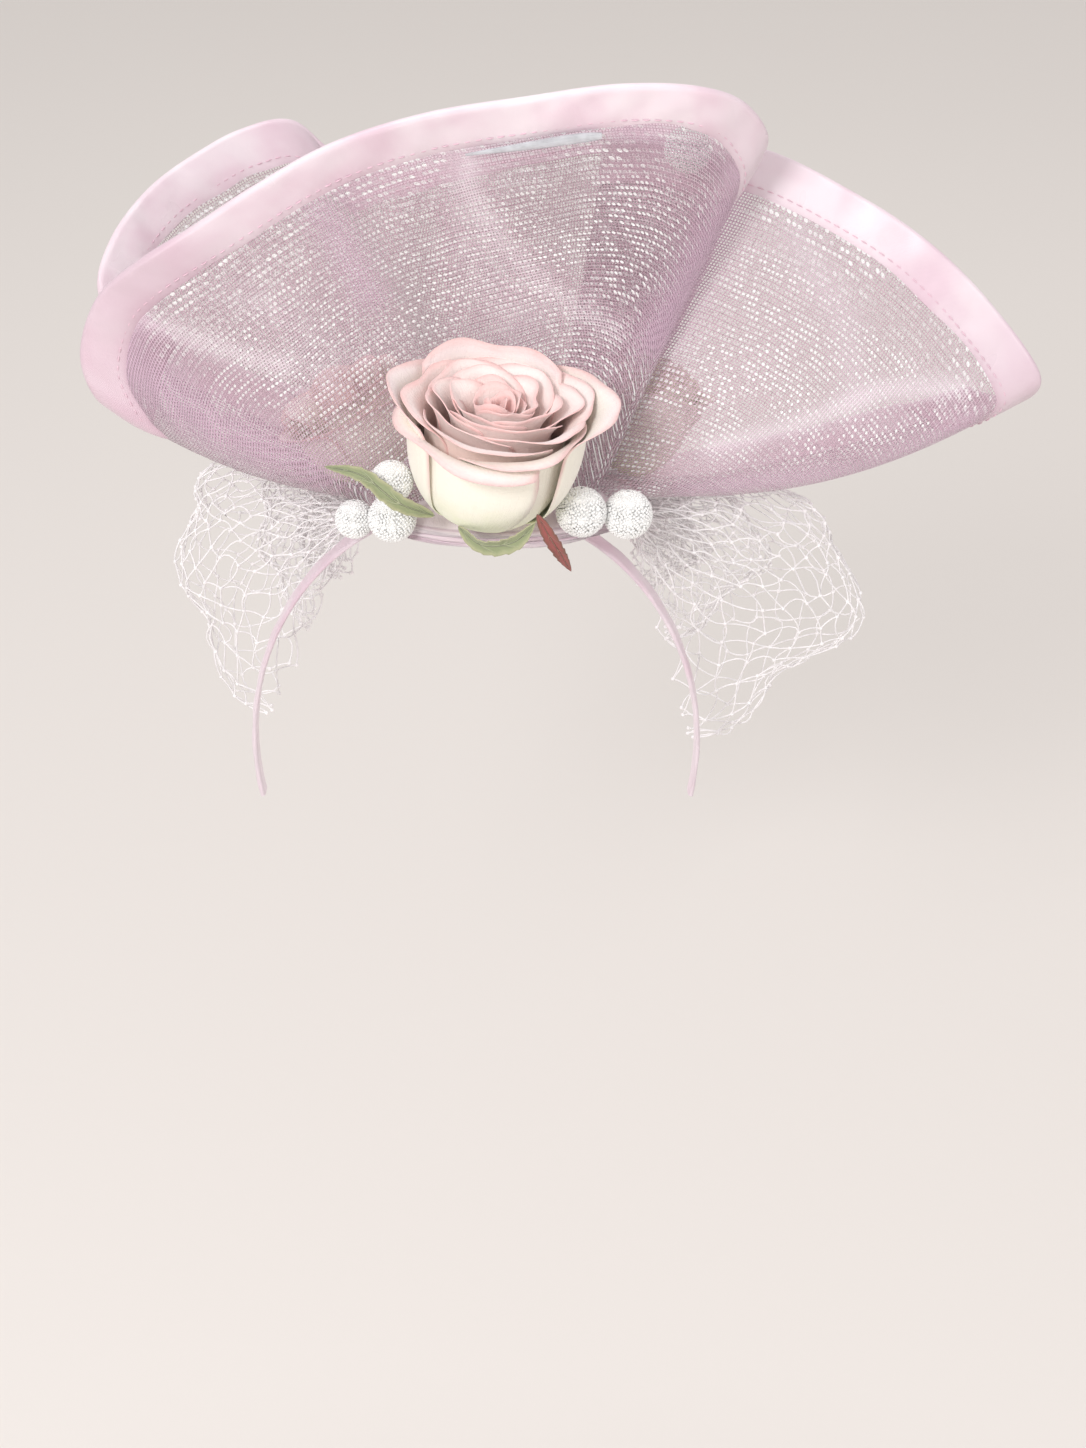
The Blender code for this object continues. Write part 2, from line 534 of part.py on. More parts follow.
def build_roses(cream, blush):
    """The front rose, the side rose at the left and the bud at the right."""
    foot = on_base(-0.08, -0.90, ROSE_STEM + GAP)
    axis = np.array((0.13, -0.39, 0.91))
    outer = (ROSE_FOOT, ROSE_RADIUS, ROSE_HEIGHT)
    petal_cup("rose_front_outer", foot, axis, outer, ROSE_STEM, (5, 0.4), cream, 26, 1.0, 0.14)
    inner = (INNER_FOOT, 0.72 * ROSE_RADIUS, 1.08 * ROSE_HEIGHT)
    inner_foot = foot + (0.06 * ROSE_HEIGHT + PETAL_THICKNESS + 4 * GAP) * axis
    petal_cup("rose_front_inner", inner_foot, axis, inner, GAP, (4, 2.0), blush, 22)
    heart = 0.40 * ROSE_RADIUS
    start = heart_start(*inner, heart)
    rose_heart("rose_front_heart", inner_foot, axis, start, heart, 1.16 * ROSE_HEIGHT, blush, 16)
    squash = SIDE_ROSE_SQUASH
    foot = on_base(-0.80, -0.06, SIDE_ROSE_STEM + GAP)
    axis = (-0.45, -0.02, 0.88)
    outer = (SIDE_ROSE_FOOT, SIDE_ROSE_RADIUS, SIDE_ROSE_HEIGHT)
    petal_cup("rose_left_outer", foot, axis, outer, SIDE_ROSE_STEM, (5, 1.0), cream, 20, squash)
    heart = 0.5 * SIDE_ROSE_RADIUS
    start = heart_start(SIDE_ROSE_FOOT, squash * SIDE_ROSE_RADIUS, SIDE_ROSE_HEIGHT, heart)
    rose_heart("rose_left_heart", foot, axis, start, heart, 1.18 * SIDE_ROSE_HEIGHT, blush, 12, squash)
    foot = on_base(0.87, 0.24, BUD_STEM + GAP)
    axis = (0.42, 0.0, 0.90)
    petal_cup("rose_right_outer", foot, axis, (BUD_FOOT, BUD_RADIUS, BUD_HEIGHT), BUD_STEM, (4, 0.3), cream, 18, squash)
    heart = 0.55 * BUD_RADIUS
    start = heart_start(BUD_FOOT, squash * BUD_RADIUS, BUD_HEIGHT, heart)
    rose_heart("rose_right_heart", foot, axis, start, heart, 1.11 * BUD_HEIGHT, cream, 12, squash)


def blade(name, path, half_width, finish, normal, count=8):
    """Leaf blade along a path, pointed at both ends, with a ridge down its middle."""
    path = np.array(path, float)
    knots = knots_of(path)
    line = curve_through(path, knots, np.linspace(0, knots[-1], count))
    along = np.gradient(line, axis=0)
    along /= np.linalg.norm(along, axis=1)[:, None]
    side = np.cross(along, normal)
    side /= np.linalg.norm(side, axis=1)[:, None]
    up = np.cross(side, along)
    share = np.linspace(0, 1, count)
    width = half_width * np.sin(math.pi * share**0.8) ** 0.75
    width = width[1:-1, None]
    half = LEAF_THICKNESS / 2
    mid, side, up = line[1:-1], side[1:-1], up[1:-1]
    section = ((1, 1.0), (0, 1.6), (-1, 1.0), (-1, -1.0), (0, -0.4), (1, -1.0))
    rings = np.stack([mid + a * width * side + b * half * up for a, b in section], axis=1)
    add_solid(name, *rings_solid(rings, line[0], line[-1]), finish)


def build_leaves(green, red):
    """The leaf at the left and the two sepals under the front rose."""
    for name, width, finish, normal, path in LEAF_PATHS:
        points = [on_base(across, deep, rise * ROSE_HEIGHT) for across, deep, rise in path]
        blade(name, points, width, green if finish == "green" else red, normal)


def ball(name, centre, radius, finish):
    """Round ball of 12 sides."""
    angle = np.linspace(0, 2 * math.pi, 12, endpoint=False)
    tilt = np.linspace(-math.pi / 2, math.pi / 2, 7)[1:-1, None]
    ring = [np.cos(tilt) * np.cos(angle), np.cos(tilt) * np.sin(angle), np.sin(tilt) + 0 * angle]
    rings = np.stack(ring, axis=-1) * radius + centre
    add_solid(name, *rings_solid(rings, centre - (0, 0, radius), centre + (0, 0, radius)), finish)


def build_balls(sheet, pearl):
    """Balls covered in beads, plain round here: those on the base, and one high behind the front sheet."""
    for row in BALL_ROWS:
        centre = on_base(row.across, row.deep, row.lift * BALL_RADIUS)
        ball(row.name, centre, row.size * BALL_RADIUS, pearl)
    radius = HIGH_BALL_SIZE * BALL_RADIUS
    spot, normal = sheet.spot(*HIGH_BALL_PLACE)
    behind = normal * np.sign(normal[1])
    ball("ball_high", spot + (radius + CRIN_THICKNESS / 2 + 2 * GAP) * behind, radius, pearl)


def build_glue(sheet, glue):
    """Long clear bead of glue on the front of the front sheet, just under its binding."""
    spots = [sheet.spot(u, GLUE_LEVEL) for u in np.linspace(*GLUE_RUN, 10)]
    mid = np.array([spot[0] for spot in spots])
    face = np.array([-spot[1] * np.sign(spot[1][1]) for spot in spots])
    up = square_to(np.array([sheet.spot(u, GLUE_LEVEL + 0.02)[0] for u in np.linspace(*GLUE_RUN, 10)]) - mid,
                   np.gradient(mid, axis=0))
    share = np.linspace(0, 1, len(spots))[:, None]
    half = GLUE_RADIUS * np.sin(math.pi * (0.10 + 0.80 * share)) ** 0.4 * (0.75 + 0.25 * share)
    centre = mid + face * (CRIN_THICKNESS / 2 + GAP + 0.55 * GLUE_RADIUS)
    angle = np.linspace(0, 2 * math.pi, 8, endpoint=False)
    round_it = np.cos(angle)[None, :, None] * up[:, None] + 0.5 * np.sin(angle)[None, :, None] * face[:, None]
    add_solid("glue_bead", *rings_solid(centre[:, None] + half[:, None] * round_it), glue)


def veil_surface(gather, side, reach, rows):
    """Points and normals of a net pouch: a fan of lines from the gather, doubled over its outer fold."""
    table = np.array(rows)
    share = np.linspace(0, 1, VEIL_CELLS + 1)
    own = np.linspace(0, 1, len(rows))
    turn = np.radians(curve_through(table[:, :1], own, share))
    radius = reach * curve_through(table[:, 1:], own, share)
    fold = np.radians(np.linspace(-86, 86, VEIL_CELLS + 1))[None, :]
    out = radius * np.cos(fold) * (1 + 0.05 * np.sin(5 * share[:, None] * math.pi + 2 * fold))
    deep = VEIL_HALF_DEPTH * np.sin(fold) * (0.75 + 0.35 * np.sin(math.pi * share))[:, None]
    points = np.stack(
        [gather[0] + side * out * np.cos(turn), gather[1] + deep, gather[2] - out * np.sin(turn)], axis=-1
    )
    normal = np.cross(np.gradient(points, axis=0), np.gradient(points, axis=1))
    return points, normal / np.linalg.norm(normal, axis=-1)[..., None]


def build_veil(name, gather, side, reach, rows, finish):
    """Net pouch cut into diamonds, each a loop of strands round a gap, neighbours sharing their strands."""
    points, normal = veil_surface(gather, side, reach, rows)
    size = VEIL_CELLS + 1
    i, j = np.meshgrid(np.arange(1, VEIL_CELLS), np.arange(1, VEIL_CELLS), indexing="ij")
    keep = (i + j) % 2 == 1
    i, j = i[keep], j[keep]
    corners = np.stack([(i - 1) * size + j, i * size + j + 1, (i + 1) * size + j, i * size + j - 1], axis=1)
    flat, facing = points.reshape(-1, 3), normal.reshape(-1, 3)
    centre = flat[corners].mean(axis=1, keepdims=True)
    way = centre - flat[corners]
    pull = np.minimum(0.45, VEIL_STRAND / np.linalg.norm(way, axis=-1))[..., None]
    inner = flat[corners] + way * pull
    half = VEIL_THICKNESS / 2
    lift = half * facing[corners]
    verts = np.concatenate(
        [flat + half * facing, flat - half * facing, (inner + lift).reshape(-1, 3), (inner - lift).reshape(-1, 3)]
    )
    cells, grid = len(corners), size * size
    hole = 2 * grid + np.arange(4 * cells).reshape(cells, 4)
    faces, borders = [], {}
    for outer, hollow in zip(corners.tolist(), hole.tolist()):
        for k in range(4):
            m = (k + 1) % 4
            a, b, c, d = outer[k], outer[m], hollow[m], hollow[k]
            faces.append((a, b, c, d))
            faces.append((b + grid, a + grid, d + 4 * cells, c + 4 * cells))
            faces.append((d, c, c + 4 * cells, d + 4 * cells))
            edge = (min(a, b), max(a, b))
            if edge in borders:
                del borders[edge]
            else:
                borders[edge] = (b, a, a + grid, b + grid)
    faces += list(borders.values())
    used, renumbered = np.unique(np.concatenate([np.ravel(face) for face in faces]), return_inverse=True)
    counts = np.cumsum([0] + [len(face) for face in faces])
    faces = [renumbered[a:b].tolist() for a, b in zip(counts[:-1], counts[1:])]
    add_solid(name, verts[used], faces, finish, 60.0)


def main():
    clear_scene()
    satin = material("pink_satin", PINK_SATIN, 0.35)
    crin = material("pink_crin", PINK_CRIN, 0.4, 0.6)
    cream = material("cream_silk", CREAM, 0.7)
    blush = material("blush_silk", BLUSH, 0.7)
    pearl = material("pearl_beads", PEARL, 0.3)
    net = material("net_thread", NET_WHITE, 0.6)
    green = material("leaf_cloth", LEAF_GREEN, 0.7)
    red = material("sepal_cloth", SEPAL_RED, 0.7)
    glue = material("clear_glue", GLUE, 0.15, 0.6)
    front = Sheet(FRONT_ROWS, 84, 6, 1.2, 5.0)
    rear = Sheet(REAR_ROWS, 40, 5, 1.0, 3.0)
    build_headband(satin)
    build_base(satin)
    build_sheet("brim_front", front, crin, satin, 2)
    build_sheet("brim_rear", rear, crin, satin, 1)
    build_roses(cream, blush)
    build_leaves(green, red)
    build_balls(front, pearl)
    build_glue(front, glue)
    for name, across, reach, rows in (
        ("veil_left", LEFT_VEIL_GATHER, LEFT_VEIL_REACH, LEFT_VEIL_ROWS),
        ("veil_right", RIGHT_VEIL_GATHER, RIGHT_VEIL_REACH, RIGHT_VEIL_ROWS),
    ):
        gather = on_base(across, 0.34, -BASE_THICKNESS - 1.5)
        build_veil(name, gather, math.copysign(1, across), reach, rows, net)


main()
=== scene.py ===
"""Dressed fascinator: a folded crin brim with satin edges, silk roses, beaded balls and net veils.

Shapes are worked out in millimetres from the same named sizes and share tables as the solids, and are turned
into metres once, when a mesh is made. Every piece rides on the one body and stands where its solids stand.
"""

from __future__ import annotations

import logging
import math
from dataclasses import dataclass, field
from enum import Enum
from typing import NamedTuple, Sequence

import bpy
import numpy as np
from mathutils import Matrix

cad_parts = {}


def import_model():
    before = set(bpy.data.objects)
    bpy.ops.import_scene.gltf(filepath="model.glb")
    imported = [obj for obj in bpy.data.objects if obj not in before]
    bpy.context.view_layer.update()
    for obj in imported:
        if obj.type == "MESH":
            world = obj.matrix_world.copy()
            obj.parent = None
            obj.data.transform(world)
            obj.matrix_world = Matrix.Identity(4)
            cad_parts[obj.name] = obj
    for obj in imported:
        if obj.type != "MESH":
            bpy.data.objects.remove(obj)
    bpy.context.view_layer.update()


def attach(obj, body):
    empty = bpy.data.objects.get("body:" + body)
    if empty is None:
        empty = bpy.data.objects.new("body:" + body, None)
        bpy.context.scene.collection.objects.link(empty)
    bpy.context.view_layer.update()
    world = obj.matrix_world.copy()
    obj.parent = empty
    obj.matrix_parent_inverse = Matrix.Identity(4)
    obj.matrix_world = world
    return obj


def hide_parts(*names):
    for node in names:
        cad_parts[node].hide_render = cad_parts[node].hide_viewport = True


LOG = logging.getLogger("fascinator")
Array = np.ndarray
Colour = tuple[float, float, float]
Point = tuple[float, float, float]
Material = bpy.types.Material
Piece = bpy.types.Object
Socket = bpy.types.NodeSocket
Marks = dict[str, Array | float]
MM = 0.001

HEAD_HALF_WIDTH = 75.0
HEAD_HALF_HEIGHT = 89.0
BAND_THICKNESS = 2.0
BAND_WIDTH = 10.0
BAND_END_DROP = 108.0
BASE_CENTRE = (8.0, 12.0)
BASE_HALF_WIDTH = 47.0
BASE_HALF_DEPTH = 36.0
BASE_THICKNESS = 5.0
BASE_SAG = 10.0
BASE_LIFT = 5.2
BASE_PLEAT = 1.1
BRIM_REACH = 185.0
BRIM_DEPTH = 86.0
BRIM_RISE = 142.0
BRIM_BELLY = 30.0
BINDING_WIDTH = 13.0
BINDING_HALF = 1.5
RIM_INSET = 1.6
GAP = 0.3
SHEET_SEAT = 3.5 * GAP
SHEET_HALF = 0.5
CLOTH_WALL = 0.35
LEAST_FLAT = 0.011
ROSE_RADIUS = 31.5
ROSE_HEIGHT = 42.0
ROSE_FOOT = 7.0
ROSE_STEM = 2.8
SIDE_ROSE_RADIUS = 22.0
SIDE_ROSE_HEIGHT = 30.8
SIDE_ROSE_FOOT = 4.5
SIDE_ROSE_STEM = 3.9
BUD_RADIUS = 16.0
BUD_HEIGHT = 35.2
BUD_FOOT = 4.0
BUD_STEM = 1.8
SIDE_SQUASH = 0.78
BALL_RADIUS = 8.2
BEAD_RADIUS = 0.56
GLUE_RADIUS = 2.6
VEIL_HALF_DEPTH = 17.0
STRAND_RADIUS = 0.29
KNOT_SHARE = 2.7
PETAL_GRID = (30, 25)
HEART_GRID = (150, 14)
BLADE_GRID = (48, 15)
GLUE_GRID = (44, 18)
BAND_SIDES = 20
EDGE_STEPS = 12
STRIP_STEPS = 70
STRIP_ROWS = 120
STITCH_MARGIN = 3.0
STITCH_PITCH = 3.4
STITCH_LENGTH = 2.3
PUCKER = 0.38
JOIN_PUCKER = 0.55
JOIN_ROW = 12.0
JOIN_HALF = 0.9
LEAST_COVER = 0.3
BEAD_COVER = 0.98
BEAD_SQUASH = 0.86
KNOT_SQUASH = 0.8
CORE_STAND = 0.46
VEIL_FOLD = 86.0
VEIL_DEEP = 0.34
VEIL_DROP = 1.5
CRUMPLE_SIZE = 9.0


class Slot(Enum):
    """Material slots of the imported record."""

    SATIN = "pink_satin"
    CRIN = "pink_crin"
    CREAM = "cream_silk"
    BLUSH = "blush_silk"
    PEARL = "pearl_beads"
    NET = "net_thread"
    LEAF = "leaf_cloth"
    SEPAL = "sepal_cloth"
    GLUE = "clear_glue"


class Side(Enum):
    """Side of the hat, as the sign of its X."""

    LEFT = -1
    RIGHT = 1


class SheetRow(NamedTuple):
    """One place round a crin sheet, as shares of the brim's and base's sizes."""

    rim_across: float
    rim_depth: float
    rim_rise: float
    root_across: float
    root_depth: float
    belly_across: float
    belly_depth: float
    belly_rise: float


FRONT_ROWS = tuple(
    SheetRow(*row)
    for row in (
        (-0.573, 0.055, 0.436, -0.74, 0.46, 0.00, 0.62, -0.16),
        (-0.606, -0.015, 0.372, -0.87, 0.17, 0.00, 0.45, -0.35),
        (-0.612, -0.090, 0.312, -0.94, -0.05, 0.00, 0.20, -0.48),
        (-0.628, -0.175, 0.306, -0.95, -0.20, 0.00, -0.05, -0.50),
        (-0.646, -0.235, 0.358, -0.92, -0.35, 0.00, -0.20, -0.42),
        (-0.650, -0.275, 0.435, -0.84, -0.50, 0.00, -0.20, -0.30),
        (-0.609, -0.349, 0.566, -0.73, -0.59, 0.00, 0.00, -0.15),
        (-0.536, -0.407, 0.657, -0.61, -0.62, 0.00, 0.05, 0.00),
        (-0.449, -0.419, 0.733, -0.48, -0.58, 0.00, 0.15, 0.00),
        (-0.345, -0.395, 0.818, -0.34, -0.50, 0.00, 0.30, 0.00),
        (-0.224, -0.337, 0.894, -0.21, -0.42, 0.00, 0.45, 0.00),
        (-0.072, -0.279, 0.947, -0.08, -0.36, 0.00, 0.55, 0.00),
        (0.091, -0.233, 0.977, 0.04, -0.34, 0.00, 0.60, 0.00),
        (0.255, -0.198, 1.004, 0.17, -0.36, 0.00, 0.55, 0.00),
        (0.378, -0.163, 0.994, 0.30, -0.43, 0.00, 0.45, 0.00),
        (0.449, -0.093, 0.952, 0.43, -0.52, 0.00, 0.35, 0.00),
        (0.498, 0.010, 0.862, 0.56, -0.59, 0.00, 0.25, 0.00),
        (0.490, 0.100, 0.808, 0.67, -0.56, 0.00, 0.25, 0.00),
        (0.434, 0.172, 0.797, 0.62, -0.47, 0.00, 0.25, 0.00),
        (0.349, 0.192, 0.813, 0.53, -0.42, 0.00, 0.25, 0.00),
        (0.270, 0.208, 0.823, 0.44, -0.38, 0.00, 0.25, 0.00),
        (0.229, 0.280, 0.815, 0.37, -0.26, 0.00, 0.20, 0.00),
        (0.270, 0.354, 0.806, 0.43, -0.13, 0.00, 0.12, 0.00),
        (0.380, 0.360, 0.797, 0.54, -0.14, 0.00, 0.02, 0.00),
        (0.510, 0.340, 0.775, 0.66, -0.27, 0.00, -0.30, 0.00),
        (0.660, 0.315, 0.684, 0.74, -0.38, 0.10, -0.60, 0.00),
        (0.785, 0.270, 0.585, 0.80, -0.47, 0.20, -0.70, -0.20),
        (0.902, 0.200, 0.452, 0.87, -0.40, 0.20, -0.50, -0.60),
        (0.998, 0.100, 0.290, 0.96, -0.20, 0.10, -0.20, -0.85),
        (0.990, 0.165, 0.228, 0.99, -0.02, 0.00, 0.05, -0.90),
        (0.947, 0.260, 0.195, 0.96, 0.20, 0.00, 0.35, -0.75),
        (0.884, 0.355, 0.208, 0.85, 0.48, 0.00, 0.60, -0.45),
    )
)

REAR_ROWS = tuple(
    SheetRow(*row)
    for row in (
        (-0.626, 0.270, 0.380, -0.72, 0.62, 0.00, 0.70, -0.20),
        (-0.655, 0.235, 0.480, -0.65, 0.72, -0.10, 0.70, -0.30),
        (-0.638, 0.372, 0.560, -0.53, 0.79, -0.20, 0.60, -0.35),
        (-0.577, 0.605, 0.645, -0.42, 0.84, -0.20, 0.50, -0.40),
        (-0.496, 0.790, 0.700, -0.32, 0.88, -0.15, 0.45, -0.40),
        (-0.428, 0.907, 0.730, -0.21, 0.91, -0.10, 0.40, -0.40),
        (-0.348, 0.977, 0.740, -0.12, 0.92, 0.00, 0.35, -0.35),
        (-0.283, 1.000, 0.674, -0.04, 0.93, 0.00, 0.35, -0.30),
        (-0.205, 0.985, 0.648, 0.05, 0.93, 0.00, 0.35, -0.30),
        (-0.083, 0.955, 0.700, 0.15, 0.92, 0.00, 0.40, -0.35),
        (0.082, 0.977, 0.745, 0.28, 0.89, 0.00, 0.45, -0.40),
        (0.265, 1.000, 0.775, 0.41, 0.85, 0.10, 0.45, -0.40),
        (0.411, 0.953, 0.767, 0.53, 0.79, 0.15, 0.45, -0.40),
        (0.485, 0.830, 0.715, 0.63, 0.72, 0.15, 0.40, -0.40),
        (0.476, 0.700, 0.620, 0.72, 0.64, 0.10, 0.35, -0.35),
    )
)


class Crease(NamedTuple):
    """One soft band on a crin sheet: its line by X and Z, its half width, its tone (painted light above zero,
    painted shade below) and how mauve it is.
    """

    line: tuple[tuple[float, float], ...]
    half: float
    tone: float
    mauve: float


# Bands of painted light along folds (tone above zero) and painted shade in patches (tone below zero); the
# band from (158, 38) to (78, 22) paints the pale end strip seen through the wing, and mauve marks smooth
# bands without glints.
FRONT_CREASES = tuple(
    Crease(*row)
    for row in (
        (((1, 121), (0, 110), (10, 90), (21, 78), (34, 66), (46, 60)), 4.0, 0.55, 0.10),
        (((1, 124), (-3, 104), (2, 84), (14, 66)), 9.0, 0.30, 0.15),
        (((-12, 104), (-16, 85), (-14, 62)), 7.0, -0.30, 0.0),
        (((24, 104), (40, 92), (52, 79)), 17.0, -0.35, 0.0),
        (((8, 122), (30, 121), (52, 118)), 8.0, -0.30, 0.0),
        (((-44, 106), (-38, 94), (-31, 76)), 6.5, -0.10, 0.75),
        (((88, 108), (80, 92), (68, 70), (60, 56)), 9.0, 0.05, 1.0),
        (((48, 127), (66, 122), (80, 112)), 4.5, -0.20, 0.45),
        (((-112, 78), (-104, 56), (-80, 32), (-50, 18)), 12.0, -0.15, 0.95),
        (((70, 6), (100, 8), (128, 8), (162, 24)), 6.5, 0.0, 0.85),
        (((158, 38), (132, 38), (104, 28), (78, 22)), 4.0, 0.75, 0.25),
        (((-98, 72), (-84, 66), (-70, 60), (-58, 56)), 4.5, 0.75, 0.15),
        (((104, 84), (120, 60), (124, 36)), 6.0, 0.30, 0.20),
        (((-66, 80), (-52, 68), (-44, 50)), 7.0, 0.25, 0.10),
    )
)
# Painted shade of the front binding by rim row: darker on the left side, round the fold and at the wing tip.
FRONT_SHADES = (
    (0.0, 0.6), (5.0, 0.62), (7.0, 0.46), (9.0, 0.22), (12.0, 0.02), (14.0, 0.0), (16.0, 0.2),
    (18.0, 0.45), (22.0, 0.5), (24.0, 0.3), (25.5, 0.04), (26.8, 0.08), (27.7, 0.5), (31.0, 0.55),
)
# Painted shade of the rear binding by rim row.
REAR_SHADES = ((0.0, 0.62), (1.3, 0.40), (3.0, 0.02), (4.6, 0.06), (6.0, 0.35), (14.0, 0.2))
# One broad band of painted shade over the whole rear sheet.
REAR_CREASES = (Crease(((-110, 60), (-90, 92), (-60, 98), (40, 100)), 90.0, -0.30, 0.0),)


class BallRow(NamedTuple):
    """One beaded ball on the base: place as shares of the base, lift in ball radii, size as a share."""

    name: str
    across: float
    deep: float
    lift: float
    size: float


BALL_ROWS = tuple(
    BallRow(*row)
    for row in (
        ("ball_right_inner", 0.58, -0.96, 1.12, 1.0),
        ("ball_right_outer", 0.90, -0.84, 1.10, 0.98),
        ("ball_left_inner", -0.71, -0.94, 0.98, 0.96),
        ("ball_left_outer", -0.975, -0.80, 0.92, 0.78),
        ("ball_left_upper", -0.70, -1.07, 3.05, 0.84),
    )
)
HIGH_BALL_SIZE = 0.90
HIGH_BALL_PLACE = (0.480, 0.835)
GLUE_RUN = (0.357, 0.420)
GLUE_LEVEL = 0.890

STITCH_COLOUR = (0.86, 0.60, 0.70)
CREAM_SILK = ((0.80, 0.84, 0.58), (0.97, 0.93, 0.82), (0.975, 0.85, 0.85), (0.89, 0.56, 0.54))
BLUSH_SILK = ((0.98, 0.73, 0.66), (0.99, 0.79, 0.74), (0.99, 0.87, 0.84), (0.92, 0.56, 0.54))
PALE_SILK = ((0.97, 0.86, 0.78), (0.97, 0.90, 0.84), (0.98, 0.86, 0.84), (0.93, 0.68, 0.66))
IVORY_SILK = ((0.80, 0.84, 0.58), (0.97, 0.95, 0.84), (0.98, 0.95, 0.88), (0.93, 0.82, 0.72))
GREEN_CLOTH = ((0.30, 0.34, 0.19), (0.46, 0.46, 0.28), (0.52, 0.55, 0.37))
RED_CLOTH = ((0.34, 0.10, 0.09), (0.22, 0.10, 0.07), (0.45, 0.24, 0.16))


class VeilRow(NamedTuple):
    """One line of a veil's fan: degrees below level, and reach as a share of the veil's."""

    turn: float
    reach: float


LEFT_VEIL_ROWS = tuple(
    VeilRow(*row)
    for row in (
        (-13.0, 0.54),
        (0.0, 0.64),
        (13.0, 0.71),
        (30.0, 0.80),
        (48.0, 0.91),
        (65.0, 0.99),
    )
)
RIGHT_VEIL_ROWS = tuple(
    VeilRow(*row)
    for row in (
        (0.0, 0.52),
        (10.0, 0.72),
        (23.0, 0.89),
        (37.0, 0.96),
        (56.0, 0.94),
        (74.0, 0.97),
    )
)


def unit(vectors: Array) -> Array:
    """Vectors along the last axis, each divided by its own length."""
    return vectors / np.maximum(np.linalg.norm(vectors, axis=-1, keepdims=True), 1e-9)


def full_turn(count: int) -> Array:
    """Even angles of one full turn, without the last."""
    return np.linspace(0, 2 * math.pi, count, endpoint=False)


def paired(first: Array, second: Array) -> Array:
    """Two grids that broadcast together, side by side on a new last axis."""
    return np.stack(np.broadcast_arrays(first, second), axis=-1)


def run_along(points: Array) -> Array:
    """Length of a line from its first point to each of its points."""
    return np.concatenate([[0.0], np.cumsum(np.linalg.norm(np.diff(points, axis=0), axis=1))])


def read_at(where: Array, run: Array, values: Array) -> Array:
    """Rows of three values, read straight between their places along a run."""
    return np.stack([np.interp(where, run, values[:, k]) for k in range(3)], axis=-1)


def dimmed(colour: Colour, share: float) -> Colour:
    """The colour times a share."""
    return tuple(share * part for part in colour)


def in_scene(name: str, data: bpy.types.ID) -> Piece:
    """A new object of the data, linked to the scene."""
    made = bpy.data.objects.new(name, data)
    bpy.context.scene.collection.objects.link(made)
    return made


def give_wall(piece: Piece) -> None:
    """Gives a cloth skin its thickness, half to each side."""
    wall = piece.modifiers.new("cloth", "SOLIDIFY")
    wall.thickness = CLOTH_WALL * MM
    wall.offset = 0.0


def smooth_step(values: Array, low: float, high: float) -> Array:
    """Rise from 0 at low to 1 at high, as 3t^2 - 2t^3."""
    t = np.clip((values - low) / (high - low), 0, 1)
    return t * t * (3 - 2 * t)


def knots_of(points: Array) -> Array:
    """Knots along a run of points, each step the square root of its length."""
    return np.concatenate([[0.0], np.cumsum(np.sqrt(np.linalg.norm(np.diff(points, axis=0), axis=1)))])


def curve_through(values: Array, knots: Array, where: Array) -> Array:
    """Cubic Hermite curve through the values at their knots.

    Args:
        values: one row of numbers for each knot.
        knots: rising knots.
        where: places to read the curve at.

    Returns:
        One row for each place. The tangent at a knot is the mean of the slopes beside it, each weighted by
        the other's span.
    """
    slopes = np.diff(values, axis=0) / np.diff(knots)[:, None]
    before, after = np.diff(knots)[:-1, None], np.diff(knots)[1:, None]
    inner = (slopes[:-1] * after + slopes[1:] * before) / (before + after)
    tangents = np.vstack([slopes[:1], inner, slopes[-1:]])
    i = np.clip(np.searchsorted(knots, where, side="right") - 1, 0, len(knots) - 2)
    span = (knots[i + 1] - knots[i])[:, None]
    t = (where[:, None] - knots[i][:, None]) / span
    return (
        (2 * t**3 - 3 * t**2 + 1) * values[i]
        + (t**3 - 2 * t**2 + t) * span * tangents[i]
        + (3 * t**2 - 2 * t**3) * values[i + 1]
        + (t**3 - t**2) * span * tangents[i + 1]
    )


def even_places(points: Array, count: int, turn_weight: float) -> Array:
    """Fractional indices that share out length plus weighted turning evenly over a fine run of points."""
    steps = np.diff(points, axis=0)
    lengths = np.linalg.norm(steps, axis=1)
    ways = steps / lengths[:, None]
    turns = np.arccos(np.clip((ways[1:] * ways[:-1]).sum(axis=1), -1, 1))
    cost = np.concatenate([[0.0], np.cumsum(lengths + turn_weight * np.append(turns, 0.0))])
    return np.interp(np.linspace(0, cost[-1], count), cost, np.arange(len(points)))


def square_to(ways: Array, along: Array) -> Array:
    """Unit vectors: the ways with their part along the second vectors taken out."""
    along = unit(along)
    return unit(ways - (ways * along).sum(axis=-1, keepdims=True) * along)


def dome_height(x: Array | float, y: Array | float) -> Array | float:
    """Height of the base's underside, a shallow dome that falls with the square of the share outwards."""
    across = (x - BASE_CENTRE[0]) / BASE_HALF_WIDTH
    deep = (y - BASE_CENTRE[1]) / BASE_HALF_DEPTH
    return BASE_LIFT - BASE_SAG * (across**2 + deep**2)


def on_base(across: float, deep: float, lift: float = 0.0) -> Array:
    """Point over the base's top, across and deep as shares of its half sizes."""
    x = BASE_CENTRE[0] + across * BASE_HALF_WIDTH
    y = BASE_CENTRE[1] + deep * BASE_HALF_DEPTH
    return np.array([x, y, dome_height(x, y) + BASE_THICKNESS + lift])


def stand_on(points: Array, foot: Array, axis: Sequence[float]) -> Array:
    """Points turned from the local +Z axis to the given axis and moved to foot."""
    axis = unit(np.array(axis, float))
    side = unit(np.cross((0.0, 1.0, 0.0), axis))
    deep = np.cross(axis, side)
    return points @ np.array([side, deep, axis]) + foot


